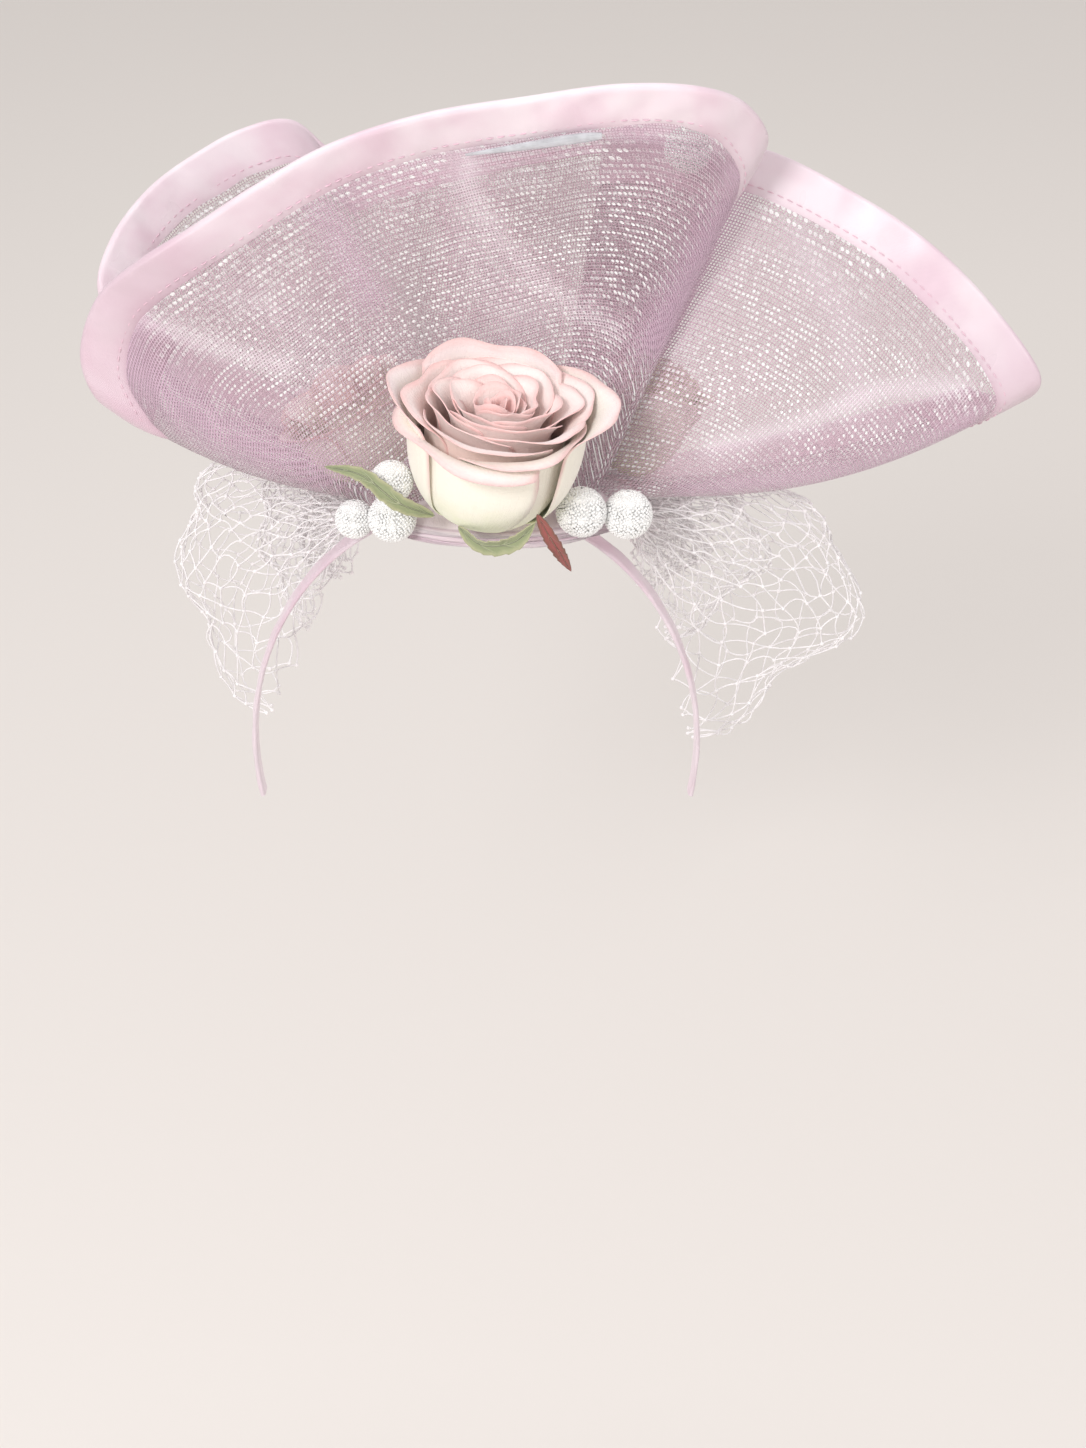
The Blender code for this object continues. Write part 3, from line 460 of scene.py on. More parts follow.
def grid_quads(rows: int, cols: int, wrap: bool = False) -> Array:
    """Quads of a grid of points, its rows closed into rings if wrap, as indices of shape (faces, 4)."""
    i, j = np.meshgrid(np.arange(rows - 1), np.arange(cols if wrap else cols - 1), indexing="ij")
    k = (j + 1) % cols
    return np.stack([i * cols + j, i * cols + k, (i + 1) * cols + k, (i + 1) * cols + j], -1).reshape(-1, 4)


def grid_facing(points: Array) -> Array:
    """Unit normals of a grid of points, the cross product of its two gradients."""
    return unit(np.cross(np.gradient(points, axis=0), np.gradient(points, axis=1)))


def soft_noise(places: Array, seed: int, waves: int = 7) -> Array:
    """Smooth values of about -1 to 1: the mean of seeded sine waves in several directions.

    Args:
        places: points whose last axis is their coordinates, about one wave to 6 units.
        seed: picks the directions and phases.
        waves: how many waves are summed.

    Returns:
        One value for each point.
    """
    pick = np.random.default_rng(seed)
    ways = pick.normal(size=(waves, places.shape[-1]))
    phase = pick.uniform(0, 2 * math.pi, waves)
    return np.sin(places @ ways.T + phase).sum(axis=-1) / math.sqrt(waves)


class Mesh:
    """A mesh in the making, in millimetres, from patches that each have points, faces, UVs and marks."""

    def __init__(self) -> None:
        """Starts empty."""
        self.points: list[Array] = []
        self.faces: list[list[int]] = []
        self.uvs: list[Array] = []
        self.marks: dict[str, list[Array]] = {}
        self.size = 0

    def add(self, points: Array, faces: Array, uv: Array | None = None, marks: Marks | None = None) -> None:
        """Adds one patch.

        Args:
            points: its points, the last axis being x, y and z.
            faces: rows of point indices, all of one length.
            uv: a UV for each point, or for each face corner.
            marks: named values for each point.
        """
        flat = points.reshape(-1, 3)
        uv = flat[:, :2] if uv is None else uv
        for_corners = uv.size == 2 * faces.size and uv.ndim == 3
        self.faces += (faces + self.size).tolist()
        self.points.append(flat)
        self.uvs.append(uv.reshape(-1, 2) if for_corners else uv.reshape(-1, 2)[faces.ravel()])
        for name, value in (marks or {}).items():
            self.marks.setdefault(name, []).append(np.broadcast_to(value, points.shape[:-1]).reshape(-1))
        self.size += len(flat)

    def make(self, name: str, finish: Material, stands_for: Sequence[str] = ()) -> Piece:
        """Makes the object, which rides on the one body.

        Args:
            name: the piece's name.
            finish: its material.
            stands_for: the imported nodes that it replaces.

        Returns:
            The new object, at the origin, in metres.
        """
        mesh = bpy.data.meshes.new(name)
        mesh.from_pydata((np.concatenate(self.points) * MM).tolist(), [], self.faces)
        layer = mesh.uv_layers.new(name="UVMap")
        layer.data.foreach_set("uv", np.concatenate(self.uvs).astype(np.float32).ravel())
        for key, values in self.marks.items():
            mark = mesh.attributes.new(key, "FLOAT", "POINT")
            mark.data.foreach_set("value", np.concatenate(values).astype(np.float32))
        mesh.shade_smooth()
        mesh.materials.append(finish)
        mesh.update()
        piece = in_scene(name, mesh)
        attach(piece, "root")
        if stands_for:
            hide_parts(*stands_for)
        LOG.info("%s: %d faces", name, len(self.faces))
        return piece


def tube_patch(paths: Array, radius: Array | float, sides: int) -> tuple[Array, Array]:
    """Tubes along many paths at once.

    Args:
        paths: shape (tubes, steps, 3).
        radius: one number, or numbers that broadcast to (tubes, steps).
        sides: sides of each tube.

    Returns:
        Points of shape (tubes, steps, sides, 3) and quads. A ring is the circle square to the path's own way.
    """
    tubes, steps = paths.shape[:2]
    way = unit(np.gradient(paths, axis=1))
    rough = np.where(np.abs(way[..., 1:2]) < 0.8, (0.0, 1.0, 0.0), (0.0, 0.0, 1.0))
    side = unit(np.cross(way, rough))
    up = np.cross(side, way)
    angle = full_turn(sides)
    size = np.broadcast_to(np.asarray(radius, float), (tubes, steps))[..., None, None]
    ring = np.cos(angle)[:, None] * side[:, :, None] + np.sin(angle)[:, None] * up[:, :, None]
    points = paths[:, :, None] + size * ring
    quads = grid_quads(steps, sides, wrap=True)[:, ::-1]
    faces = (quads[None] + (np.arange(tubes) * steps * sides)[:, None, None]).reshape(-1, 4)
    return points, faces


def ball_patch(centres: Array, ways: Array, radius: Array | float, squash: float) -> tuple[Array, Array]:
    """Small round beads, eight sides and five rings each, squashed along their own way.

    Args:
        centres: shape (beads, 3).
        ways: unit vectors along which each is squashed.
        radius: bead radius, one or one each.
        squash: length along the way as a share of the width.

    Returns:
        Points of shape (beads, 40, 3) and quads, the end rings small enough to close by eye.
    """
    tilt = np.radians(np.array([-86.0, -48.0, 0.0, 48.0, 86.0]))[:, None]
    angle = full_turn(8)
    across = np.cos(tilt)
    local = np.stack([across * np.cos(angle), across * np.sin(angle), squash * np.sin(tilt) + 0 * angle], -1)
    rough = np.where(np.abs(ways[:, 2:]) < 0.8, (0.0, 0.0, 1.0), (1.0, 0.0, 0.0))
    side = unit(np.cross(ways, rough))
    turn = np.stack([side, np.cross(ways, side), ways], axis=1)
    size = np.broadcast_to(np.asarray(radius, float), (len(centres),))[:, None, None]
    points = (local.reshape(-1, 3) @ turn) * size + centres[:, None]
    quads = grid_quads(5, 8, wrap=True)
    faces = (quads[None] + (np.arange(len(centres)) * 40)[:, None, None]).reshape(-1, 4)
    return points, faces


class Value:
    """A shader socket whose arithmetic adds Math nodes."""

    def __init__(self, graph: Graph, socket: Socket) -> None:
        """Wraps one output socket of the graph."""
        self.graph = graph
        self.socket = socket

    def _math(self, operation: str, *others: Value | float, first: Value | float | None = None) -> Value:
        """One Math node on this value, or on first and this value."""
        terms = (self, *others) if first is None else (first, self)
        node = self.graph.node("ShaderNodeMath", {"operation": operation}, dict(enumerate(terms)))
        return Value(self.graph, node.outputs[0])

    def __add__(self, other: Value | float) -> Value:
        """Sum."""
        return self._math("ADD", other)

    __radd__ = __add__

    def __sub__(self, other: Value | float) -> Value:
        """Difference."""
        return self._math("SUBTRACT", other)

    def __rsub__(self, other: float) -> Value:
        """Difference from a number."""
        return self._math("SUBTRACT", first=other)

    def __mul__(self, other: Value | float) -> Value:
        """Product."""
        return self._math("MULTIPLY", other)

    __rmul__ = __mul__

    def __truediv__(self, other: Value | float) -> Value:
        """Quotient."""
        return self._math("DIVIDE", other)

    def __pow__(self, other: Value | float) -> Value:
        """Power."""
        return self._math("POWER", other)

    def sine(self) -> Value:
        """Sine."""
        return self._math("SINE")

    def part(self) -> Value:
        """Part after the whole number."""
        return self._math("FRACT")

    def whole(self) -> Value:
        """Whole number at or below."""
        return self._math("FLOOR")

    def size(self) -> Value:
        """Size without its sign."""
        return self._math("ABSOLUTE")

    def least(self, other: Value | float) -> Value:
        """The lesser of two."""
        return self._math("MINIMUM", other)

    def most(self, other: Value | float) -> Value:
        """The greater of two."""
        return self._math("MAXIMUM", other)

    def rise(self, low: float, high: float, start: float = 0.0, end: float = 1.0) -> Value:
        """Smooth step from start at low to end at high."""
        sockets = {"Value": self, "From Min": low, "From Max": high, "To Min": start, "To Max": end}
        node = self.graph.node("ShaderNodeMapRange", {"interpolation_type": "SMOOTHSTEP"}, sockets)
        return Value(self.graph, node.outputs["Result"])


class Graph:
    """The node tree of one material."""

    def __init__(self, name: str) -> None:
        """Makes the material with its Principled shader."""
        self.material = bpy.data.materials.new(name)
        self.material.use_nodes = True
        self.tree = self.material.node_tree
        self.shader = self.tree.nodes["Principled BSDF"]

    def node(self, kind: str, settings: dict | None = None, sockets: dict | None = None) -> bpy.types.Node:
        """Adds one node.

        Args:
            kind: the node's type.
            settings: its properties, set first.
            sockets: values or links by input name or number.

        Returns:
            The node.
        """
        made = self.tree.nodes.new(kind)
        for key, value in (settings or {}).items():
            setattr(made, key, value)
        for key, value in (sockets or {}).items():
            self.feed(made.inputs[key], value)
        return made

    def feed(self, target: Socket, value: Value | Socket | float | Sequence[float]) -> None:
        """Links a value to an input, or sets the input to a number or colour."""
        if isinstance(value, Value):
            value = value.socket
        if isinstance(value, Socket):
            self.tree.links.new(value, target)
        elif isinstance(value, (int, float)):
            target.default_value = value
        else:
            short = len(value) < len(target.default_value)
            target.default_value = (*value, 1.0) if short else tuple(value)

    def uv(self) -> tuple[Value, Value]:
        """The two coordinates of the piece's own UV map."""
        source = self.node("ShaderNodeUVMap", {"uv_map": "UVMap"})
        split = self.node("ShaderNodeSeparateXYZ", None, {0: source.outputs[0]})
        return Value(self, split.outputs[0]), Value(self, split.outputs[1])

    def place(self) -> Socket:
        """Object coordinates."""
        return self.node("ShaderNodeTexCoord").outputs["Object"]

    def mark(self, name: str) -> Value:
        """A named value of the piece's own mesh."""
        return Value(self, self.node("ShaderNodeAttribute", {"attribute_name": name}).outputs["Fac"])

    def joined(self, x: Value | float, y: Value | float, z: Value | float = 0.0) -> Socket:
        """A vector of three values."""
        return self.node("ShaderNodeCombineXYZ", None, {0: x, 1: y, 2: z}).outputs[0]

    def noise(self, vector: Socket, scale: float, detail: float = 2.0, rough: float = 0.5) -> Value:
        """Noise texture's value."""
        sockets = {"Vector": vector, "Scale": scale, "Detail": detail, "Roughness": rough}
        return Value(self, self.node("ShaderNodeTexNoise", None, sockets).outputs["Fac"])

    def blend(self, mask: Value | float, low: Colour | Socket, high: Colour | Socket) -> Socket:
        """Colour that goes from low to high with the mask."""
        node = self.node("ShaderNodeMix", {"data_type": "RGBA"}, {0: mask, 6: low, 7: high})
        return node.outputs[2]

    def bump(self, height: Value, depth: float, strength: float = 1.0) -> None:
        """Feeds the shader's normal from a height of 0 to 1, depth being its size in metres."""
        node = self.node("ShaderNodeBump", None, {"Height": height, "Distance": depth, "Strength": strength})
        self.feed(self.shader.inputs["Normal"], node.outputs[0])

    def set(self, **values: Value | float | Sequence[float] | Socket) -> None:
        """Feeds the shader's inputs, each named with _ in place of a blank."""
        for key, value in values.items():
            self.feed(self.shader.inputs[key.replace("_", " ")], value)


@dataclass(frozen=True)
class Satin:
    """Glossy bias satin: fine twill, soft creases across the strip with painted shade in them, and sheen
    painted as pale clouds.
    """

    light: Colour = (0.965, 0.85, 0.905)
    deep: Colour = (0.87, 0.67, 0.76)
    # fold: the painted shade colour, blended in by the mark shade
    fold: Colour = (0.58, 0.38, 0.47)
    twill_pitch: float = 0.42

    def material(self) -> Material:
        """Makes the material: UV in millimetres along and across, its painted shade from the mark shade,
        towards the fold colour.
        """
        graph = Graph("satin_cloth")
        u, v = graph.uv()
        crease = graph.noise(graph.joined(u * 0.06 + v * 0.02, v * 0.03, 0.0), 1.0, 2.0, 0.5)
        cloud = graph.noise(graph.joined(u * 0.03, v * 0.05, 3.0), 1.0, 2.0)
        twill = ((u * 0.7 + v) * (2 * math.pi / self.twill_pitch)).sine() * 0.5 + 0.5
        # painted shade in the creases and painted sheen in the clouds: colour between deep and light
        shade = (crease * 0.4 + cloud * 0.6).rise(0.34, 0.60)
        graph.set(
            Base_Color=graph.blend(graph.mark("shade"), graph.blend(shade, self.deep, self.light), self.fold),
            Roughness=crease.rise(0.3, 0.7, 0.38, 0.27),
            Specular_IOR_Level=0.7,
            Sheen_Weight=0.25,
            Sheen_Roughness=0.4,
        )
        graph.bump(crease * 0.9 + twill * 0.05, 0.0012)
        return graph.material


@dataclass(frozen=True)
class Crin:
    """Open shiny crin: crossing flat threads with holes between, painted shade on their sides and painted
    glints as dashes in rows.
    """

    thread: Colour = (0.66, 0.45, 0.54)
    # shade: the painted shade colour, on the threads' sides and in the darker bands
    shade: Colour = (0.17, 0.095, 0.12)
    # pale: colour where tone is above zero, painted light along folds and the pale end strip seen through the
    # wing
    pale: Colour = (0.93, 0.82, 0.88)
    mauve: Colour = (0.73, 0.51, 0.65)
    # painted_glint: white painted into the base colour where the threads would catch the light
    painted_glint: Colour = (1.0, 0.985, 0.99)
    pitch: float = 0.98
    open_share: float = 0.70
    bold: tuple[float, float, float, float] = (1.95, 2.75, 0.92, 0.62)
    fine: tuple[float, float, float, float] = (1.55, 2.00, 0.62, 0.52)

    def dashes(self, graph: Graph, u: Value, v: Value, size: tuple[float, float, float, float]) -> Value:
        """Painted glints: tilted white dashes in staggered rows, some fainter than others.

        Args:
            graph: the node tree.
            u: millimetres along the rim.
            v: millimetres away from it.
            size: step along, step between rows, half length and half width of a dash.

        Returns:
            0 to 1.
        """
        along, down, length, width = size
        level = v / down
        row = level.whole()
        step = u / along + row * 0.5 + (row * 1.7).sine() * 0.15
        x = (step.part() - 0.5) * along
        y = (level.part() - 0.5) * down
        lead, side = (x * 0.86 + y * 0.51) / length, (y * 0.86 - x * 0.51) / width
        spot = (lead * lead + side * side).rise(0.55, 1.35, 1.0, 0.0)
        chosen = graph.noise(graph.joined(step.whole() * 0.61, row * 0.47, 0.0), 2.7, 0.0)
        return spot * chosen.rise(0.36, 0.56, 0.18, 1.0)

    def material(self) -> Material:
        """Makes the material, its UV in millimetres along the rim and away from it.

        Returns:
            The material. The mesh's marks say where painted light makes it paler and painted shade darker
            (tone), and where it is smooth and mauve, without dashes (mauve).
        """
        graph = Graph("crin_weave")
        u, v = graph.uv()
        tone, mauve = graph.mark("tone"), graph.mark("mauve")
        sway = graph.noise(graph.joined(u * 0.05, v * 0.05, 0.0), 1.0, 1.0)
        u, v = u + sway * 3.0, v + sway * 2.4
        warp, weft = ((way / self.pitch).part() - 0.5 for way in (u, v))
        thread = (warp.size() * 2.0).most(weft.size() * 2.0)
        zone = (v * 0.028 + graph.noise(graph.joined(u * 0.02, v * 0.02, 4.0), 1.0, 1.0)).rise(1.0, 1.6)
        bold = self.dashes(graph, u, v, self.bold) * (1.0 - zone)
        fine = self.dashes(graph, u, v, self.fine) * zone.rise(0.0, 1.0, 0.40, 1.0)
        patch = graph.noise(graph.joined(u * 0.045, v * 0.07, 2.0), 1.0, 2.0).rise(0.34, 0.54, 0.50, 1.0)
        # painted highlight: the glint mask, none where mauve; it also lowers roughness, closes the holes and
        # lifts the bump
        painted_glint = bold.most(fine) * patch * (1.0 - mauve).most(0.0)
        grain = graph.noise(graph.joined(u * 0.9, v * 0.9, 5.0), 1.0, 2.0)
        # painted shade on each thread's sides: shade colour at the holes' edges, thread colour on its crown,
        # broken by grain
        painted_side_shade = (thread * 1.5 - 0.75 + (grain - 0.5) * 0.9).rise(0.0, 0.7)
        body = graph.blend(painted_side_shade, self.shade, self.thread)
        # tone above zero blends in pale (painted light), below zero the shade colour (painted shade)
        body = graph.blend((tone * -1.0).most(0.0), graph.blend(tone.most(0.0), body, self.pale), self.shade)
        body = graph.blend(mauve * 0.85, body, self.mauve)
        closed = (thread + tone * 0.18 + mauve * 0.16).rise(self.open_share - 0.08, self.open_share + 0.08)
        graph.set(
            Base_Color=graph.blend(painted_glint, body, self.painted_glint),
            Roughness=painted_glint.rise(0.0, 1.0, 0.42, 0.25),
            Alpha=closed.most(painted_glint),
            Specular_IOR_Level=0.6,
            Sheen_Weight=0.3,
            Sheen_Roughness=0.3,
        )
        graph.bump(thread + painted_glint * 0.5, 0.00030)
        return graph.material


@dataclass(frozen=True)
class Silk:
    """Petal silk: cream at the foot, blushing to the lip, with faint veins along each petal."""

    foot: Colour
    body: Colour
    lip: Colour
    edge: Colour
    slot: Slot

    def material(self) -> Material:
        """Makes the material, its UV across a petal and from foot to lip, blush from the mesh's own mark."""
        graph = Graph("petal_" + self.slot.value)
        u, v = graph.uv()
        blush = graph.mark("blush")
        veins = graph.noise(graph.joined(u * 14.0, v * 1.2, 0.0), 1.0, 3.0, 0.6)
        mottle = graph.noise(graph.place(), 140.0, 3.0)
        tone = blush + (veins - 0.5) * 0.24 + (mottle - 0.5) * 0.24
        colour = graph.blend((v + (mottle - 0.5) * 0.3).rise(0.05, 0.5), self.foot, self.body)
        colour = graph.blend(tone.rise(0.12, 0.66), colour, self.lip)
        rim = v.rise(0.93, 1.0).most(u.size().rise(0.92, 1.0) * v.rise(0.35, 0.8))
        colour = graph.blend(rim * (0.25 + mottle * 0.9).least(1.0), colour, self.edge)
        graph.set(
            Base_Color=colour,
            Roughness=0.62,
            Specular_IOR_Level=0.3,
            Sheen_Weight=0.35,
            Sheen_Roughness=0.5,
        )
        weave = graph.noise(graph.place(), 2600.0, 0.0)
        graph.bump(veins * 0.7 + weave * 0.3, 0.00045)
        return graph.material


@dataclass(frozen=True)
class Pearl:
    """Small glossy white beads."""

    colour: Colour = (0.99, 0.99, 0.985)

    def material(self) -> Material:
        """Makes the material, each bead a little different."""
        graph = Graph("pearl_bead")
        tone = graph.noise(graph.place(), 700.0, 1.0)
        graph.set(
            Base_Color=graph.blend(tone.rise(0.3, 0.7), dimmed(self.colour, 0.9), self.colour),
            Roughness=tone.rise(0.3, 0.7, 0.18, 0.30),
            Coat_Weight=0.4,
            Coat_Roughness=0.06,
        )
        return graph.material


@dataclass(frozen=True)
class Thread:
    """Net thread: twisted, pale and slightly shiny."""

    colour: Colour = (0.985, 0.955, 0.965)

    def material(self) -> Material:
        """Makes the material."""
        graph = Graph("net_strand")
        tone = graph.noise(graph.place(), 300.0, 2.0)
        graph.set(
            Base_Color=graph.blend(tone.rise(0.3, 0.7), dimmed(self.colour, 0.88), self.colour),
            Roughness=0.45,
            Sheen_Weight=0.3,
        )
        graph.bump(graph.noise(graph.place(), 4000.0, 0.0), 0.0001)
        return graph.material


@dataclass(frozen=True)
class Leaf:
    """Leaf cloth: a paler rib and side veins, edges that turn colour."""

    middle: Colour
    edge: Colour
    rib: Colour
    slot: Slot

    def material(self) -> Material:
        """Makes the material, its UV across the leaf from -1 to 1 and along it."""
        graph = Graph("leaf_" + self.slot.value)
        u, v = graph.uv()
        out = u.size()
        vein = ((v * 26.0 - out * 5.0).sine()).rise(0.75, 1.0) * out.rise(0.9, 0.3)
        mottle = graph.noise(graph.place(), 260.0, 3.0)
        colour = graph.blend((out + (mottle - 0.5) * 0.7).rise(0.45, 1.1), self.middle, self.edge)
        colour = graph.blend((out.rise(0.10, 0.0) + vein * 0.35).least(1.0), colour, self.rib)
        graph.set(Base_Color=colour, Roughness=0.6, Specular_IOR_Level=0.35, Sheen_Weight=0.2)
        graph.bump(out.rise(0.14, 0.0) + vein * 0.5 + mottle * 0.4, 0.0005)
        return graph.material


@dataclass(frozen=True)
class Glue:
    """Set clear glue, glossy and a little cloudy."""

    colour: Colour = (0.70, 0.73, 0.77)

    def material(self) -> Material:
        """Makes the material."""
        graph = Graph("set_glue")
        cloud = graph.noise(graph.place(), 220.0, 2.0)
        graph.set(
            Base_Color=graph.blend(cloud.rise(0.3, 0.7), dimmed(self.colour, 0.85), self.colour),
            Roughness=0.08,
            Alpha=cloud.rise(0.3, 0.7, 0.55, 0.75),
            Coat_Weight=0.8,
            Coat_Roughness=0.03,
        )
        return graph.material


@dataclass(frozen=True)
class Backdrop:
    """Plain pale studio floor."""

    colour: Colour = (0.78, 0.735, 0.705)

    def material(self) -> Material:
        """Makes the material."""
        graph = Graph("studio_floor")
        tone = graph.noise(graph.place(), 2.0, 2.0)
        graph.set(Base_Color=graph.blend(tone, dimmed(self.colour, 0.985), self.colour), Roughness=0.9)
        return graph.material


def wrapped_strip(
    line: Array, facing: Array, out: Array, half: float, pucker: Array | float, seed: int, lap: float = 0.0
) -> tuple[Array, Array]:
    """Satin folded over an edge, lying on the sheet along its inner edges and closed at its two ends.

    Args:
        line: shape (steps, across, 3), the carrying sheet from the strip's inner edge to the sheet's edge.
        facing: normals of the same shape.
        out: shape (steps, 3), the way out of the sheet at its edge.
        half: how far the satin stands off the sheet at its fullest.
        pucker: height of its small waves, one number or one for each step.
        seed: picks the waves.
        lap: how far its inner edges stand off near its ends, as a share of half, to pass over another strip.

    Returns:
        Points of shape (steps, width, 3) and their UV in millimetres. Each side stands off by half times the
        sine of the way across, plus seeded waves, and the two meet round the edge in half a circle.
    """
    share = np.linspace(0, 1, line.shape[1])
    run = run_along(line[:, -1])
    rest = np.minimum(run, run[-1] - run)[:, None]
    ease = np.sin(np.clip(rest / 3.0, 0, 1) * math.pi / 2)
    over = lap * (1 - smooth_step(rest, 10.0, 16.0))
    puff = half * ease * (over + (1 - over) * np.sin(share * math.pi * 0.5)[None] ** 0.7)
    width = np.linalg.norm(line[:, -1] - line[:, 0], axis=1).mean()
    places = paired(run[:, None] / 5.0, share[None] * 1.2)
    swell = ease * np.sin(share * math.pi)[None]
    sides = []
    for turn in (1, -1):
        wave = np.reshape(pucker, (-1, 1)) * soft_noise(places, seed + turn) * swell
        sides.append(line + turn * facing * (puff + wave)[..., None])
    angle = np.linspace(math.pi / 2, -math.pi / 2, 9)[1:-1]
    edge, normal = line[:, -1][:, None], facing[:, -1][:, None]
    arc = np.cos(angle)[:, None] * out[:, None] + np.sin(angle)[:, None] * normal
    bend = edge + half * ease[..., None] * arc
    points = np.concatenate([sides[0], bend, sides[1][:, ::-1]], axis=1)
    chord = np.linalg.norm(np.diff(points, axis=1), axis=2).mean(axis=0)
    v = np.concatenate([[0.0], np.cumsum(chord)])
    return points, paired(run[:, None], v[None] - width)


@dataclass
class Brim:
    """One crin sheet with the satin round its rim and down its two ends.

    A point at a share round the rim and level v is (1-v)^2 root + 2v(1-v) belly + v^2 rim, moved along the
    sheet's facing by a ruffle that grows with v squared.
    """

    name: str
    rows: tuple[SheetRow, ...]
    ruffle: float
    ruffle_turns: float
    cuts: tuple[float, ...]
    creases: tuple[Crease, ...]
    shades: tuple[tuple[float, float], ...]
    strip_width: float = 12.0
    count: int = 520
    levels: int = 60
    rim: Array = field(init=False)
    root: Array = field(init=False)
    belly: Array = field(init=False)
    share: Array = field(init=False)
    row: Array = field(init=False)
    seam: Array = field(init=False)

    def __post_init__(self) -> None:
        """Works out the rim, root and belly curves from the share table."""
        table = np.array(self.rows)
        rim = table[:, :3] * (BRIM_REACH, BRIM_DEPTH, BRIM_RISE)
        root_x = BASE_CENTRE[0] + table[:, 3] * BASE_HALF_WIDTH
        root_y = BASE_CENTRE[1] + table[:, 4] * BASE_HALF_DEPTH
        root = np.stack([root_x, root_y, dome_height(root_x, root_y) + BASE_THICKNESS + SHEET_SEAT], axis=1)
        belly = (rim + root) / 2 + table[:, 5:] * BRIM_BELLY
        knots = knots_of(rim)
        fine = np.linspace(0, knots[-1], 40 * len(self.rows))
        places = even_places(curve_through(rim, knots, fine), self.count, 12.0)
        where = np.interp(places, np.arange(len(fine)), fine)
        self.rim = curve_through(rim, knots, where)
        self.root = curve_through(root, knots, where)
        self.belly = curve_through(belly, knots, where)
        self.share = where / knots[-1]
        self.row = np.interp(where, knots, np.arange(len(self.rows)))
        length = np.linalg.norm(self.rim - self.root, axis=1)
        along = unit(np.gradient(self.rim, axis=0))
        out = unit(self.rim - self.belly)
        self.rim = self.rim - out * RIM_INSET
        slant = np.sqrt(1 - np.clip((along * out).sum(axis=1) ** 2, 0, 0.75))
        self.seam = 1 - BINDING_WIDTH / (length * slant)

    def at(self, v: Array) -> Array:
        """Points of the sheet at levels v, one row of levels for each place round it."""
        v = v[..., None]
        root, belly, rim = self.root[:, None], self.belly[:, None], self.rim[:, None]
        flat = (1 - v) ** 2 * root + 2 * v * (1 - v) * belly + v**2 * rim
        wave = unit(np.cross(np.gradient(self.rim, axis=0), self.rim - self.root))
        height = self.ruffle * np.sin(2 * math.pi * self.ruffle_turns * self.share)
        return flat + height[:, None, None] * v**2 * wave[:, None]

    def grid(self, low: Array | float, high: Array | float, levels: int) -> tuple[Array, Array]:
        """Points and normals between two levels, all the way round."""
        mix = np.linspace(0, 1, levels)[None]
        low, high = np.broadcast_to(low, self.count)[:, None], np.broadcast_to(high, self.count)[:, None]
        points = self.at(low * (1 - mix) + high * mix)
        return points, grid_facing(points)

    def spot(self, share: float, level: float) -> tuple[Array, Array]:
        """Point and normal at a share of the way round and a level."""
        i = min(int(np.searchsorted(self.share, share)), len(self.share) - 2)
        near = self.at(np.full((self.count, 3), level) + (0.0, 0.01, -0.01))
        t = (share - self.share[i - 1]) / (self.share[i] - self.share[i - 1])
        point = near[i - 1, 0] * (1 - t) + near[i, 0] * t
        return point, unit(np.cross(near[i, 0] - near[i - 1, 0], near[i, 1] - near[i, 2]))

    def build_sheet(self, crin: Material) -> Piece:
        """Makes the crin sheet, a single skin whose UV runs in true millimetres within each panel.

        Args:
            crin: its material.

        Returns:
            The piece. Along the rim, a UV is the length of the level line from the middle of its panel, and
            away from it the length down from the rim. A panel ends where the sheet is folded.
        """
        points, _ = self.grid(0.0, 1.0, self.levels)
        run = np.cumsum(np.linalg.norm(np.diff(points, axis=0, prepend=points[:1]), axis=2), axis=0)
        step = np.linalg.norm(np.diff(points, axis=1), axis=2)
        down = np.concatenate([np.cumsum(step[:, ::-1], axis=1)[:, ::-1], np.zeros((self.count, 1))], axis=1)
        quads = grid_quads(self.count, self.levels)
        bounds = np.searchsorted(self.row, self.cuts)
        panel = np.searchsorted(bounds, quads[:, 0] // self.levels, side="right")
        ends = np.concatenate([[0], bounds, [self.count - 1]])
        middle = ((ends[:-1] + ends[1:]) // 2)[panel]
        level = quads % self.levels
        u = run.ravel()[quads] - run[middle[:, None], level]
        mesh = Mesh()
        mesh.add(points, quads, np.stack([u, down.ravel()[quads]], axis=-1), self.bands(points))
        piece = mesh.make("crin_" + self.name, crin, ["brim_" + self.name])
        area = float(self.skin_area(points)) * MM * MM
        length = float(run[-1, -1]) * MM
        height = float(down[:, 0].max()) * MM
        area = min(area, height * length)
        LOG.info("crin_%s: %.3f by %.3f m, %.4f m2", self.name, height, length, area)
        return piece

    @staticmethod
    def skin_area(points: Array) -> float:
        """Area of a grid of points, half the cross product of each cell's diagonals."""
        across, back = points[1:, 1:] - points[:-1, :-1], points[1:, :-1] - points[:-1, 1:]
        return float(np.linalg.norm(np.cross(across, back), axis=2).sum() / 2)

    def bands(self, points: Array) -> dict[str, Array]:
        """Tone (painted light above zero, painted shade below) and mauve of each point: the creases' own,
        fading as exp(-(distance / half width)^2).
        """
        flat = points[..., (0, 2)]
        marks = {"tone": np.zeros(flat.shape[:-1]), "mauve": np.zeros(flat.shape[:-1])}
        for crease in self.creases:
            line = np.array(crease.line, float)
            near = np.full(flat.shape[:-1], 1e9)
            for start, end in zip(line[:-1], line[1:]):
                way = end - start
                t = np.clip(((flat - start) @ way) / (way @ way), 0, 1)
                near = np.minimum(near, np.linalg.norm(flat - start - t[..., None] * way, axis=-1))
            fade = np.exp(-((near / crease.half) ** 2))
            marks["tone"] += crease.tone * fade
            marks["mauve"] += crease.mauve * fade
        return {key: np.clip(value, -0.7, 1.0) for key, value in marks.items()}

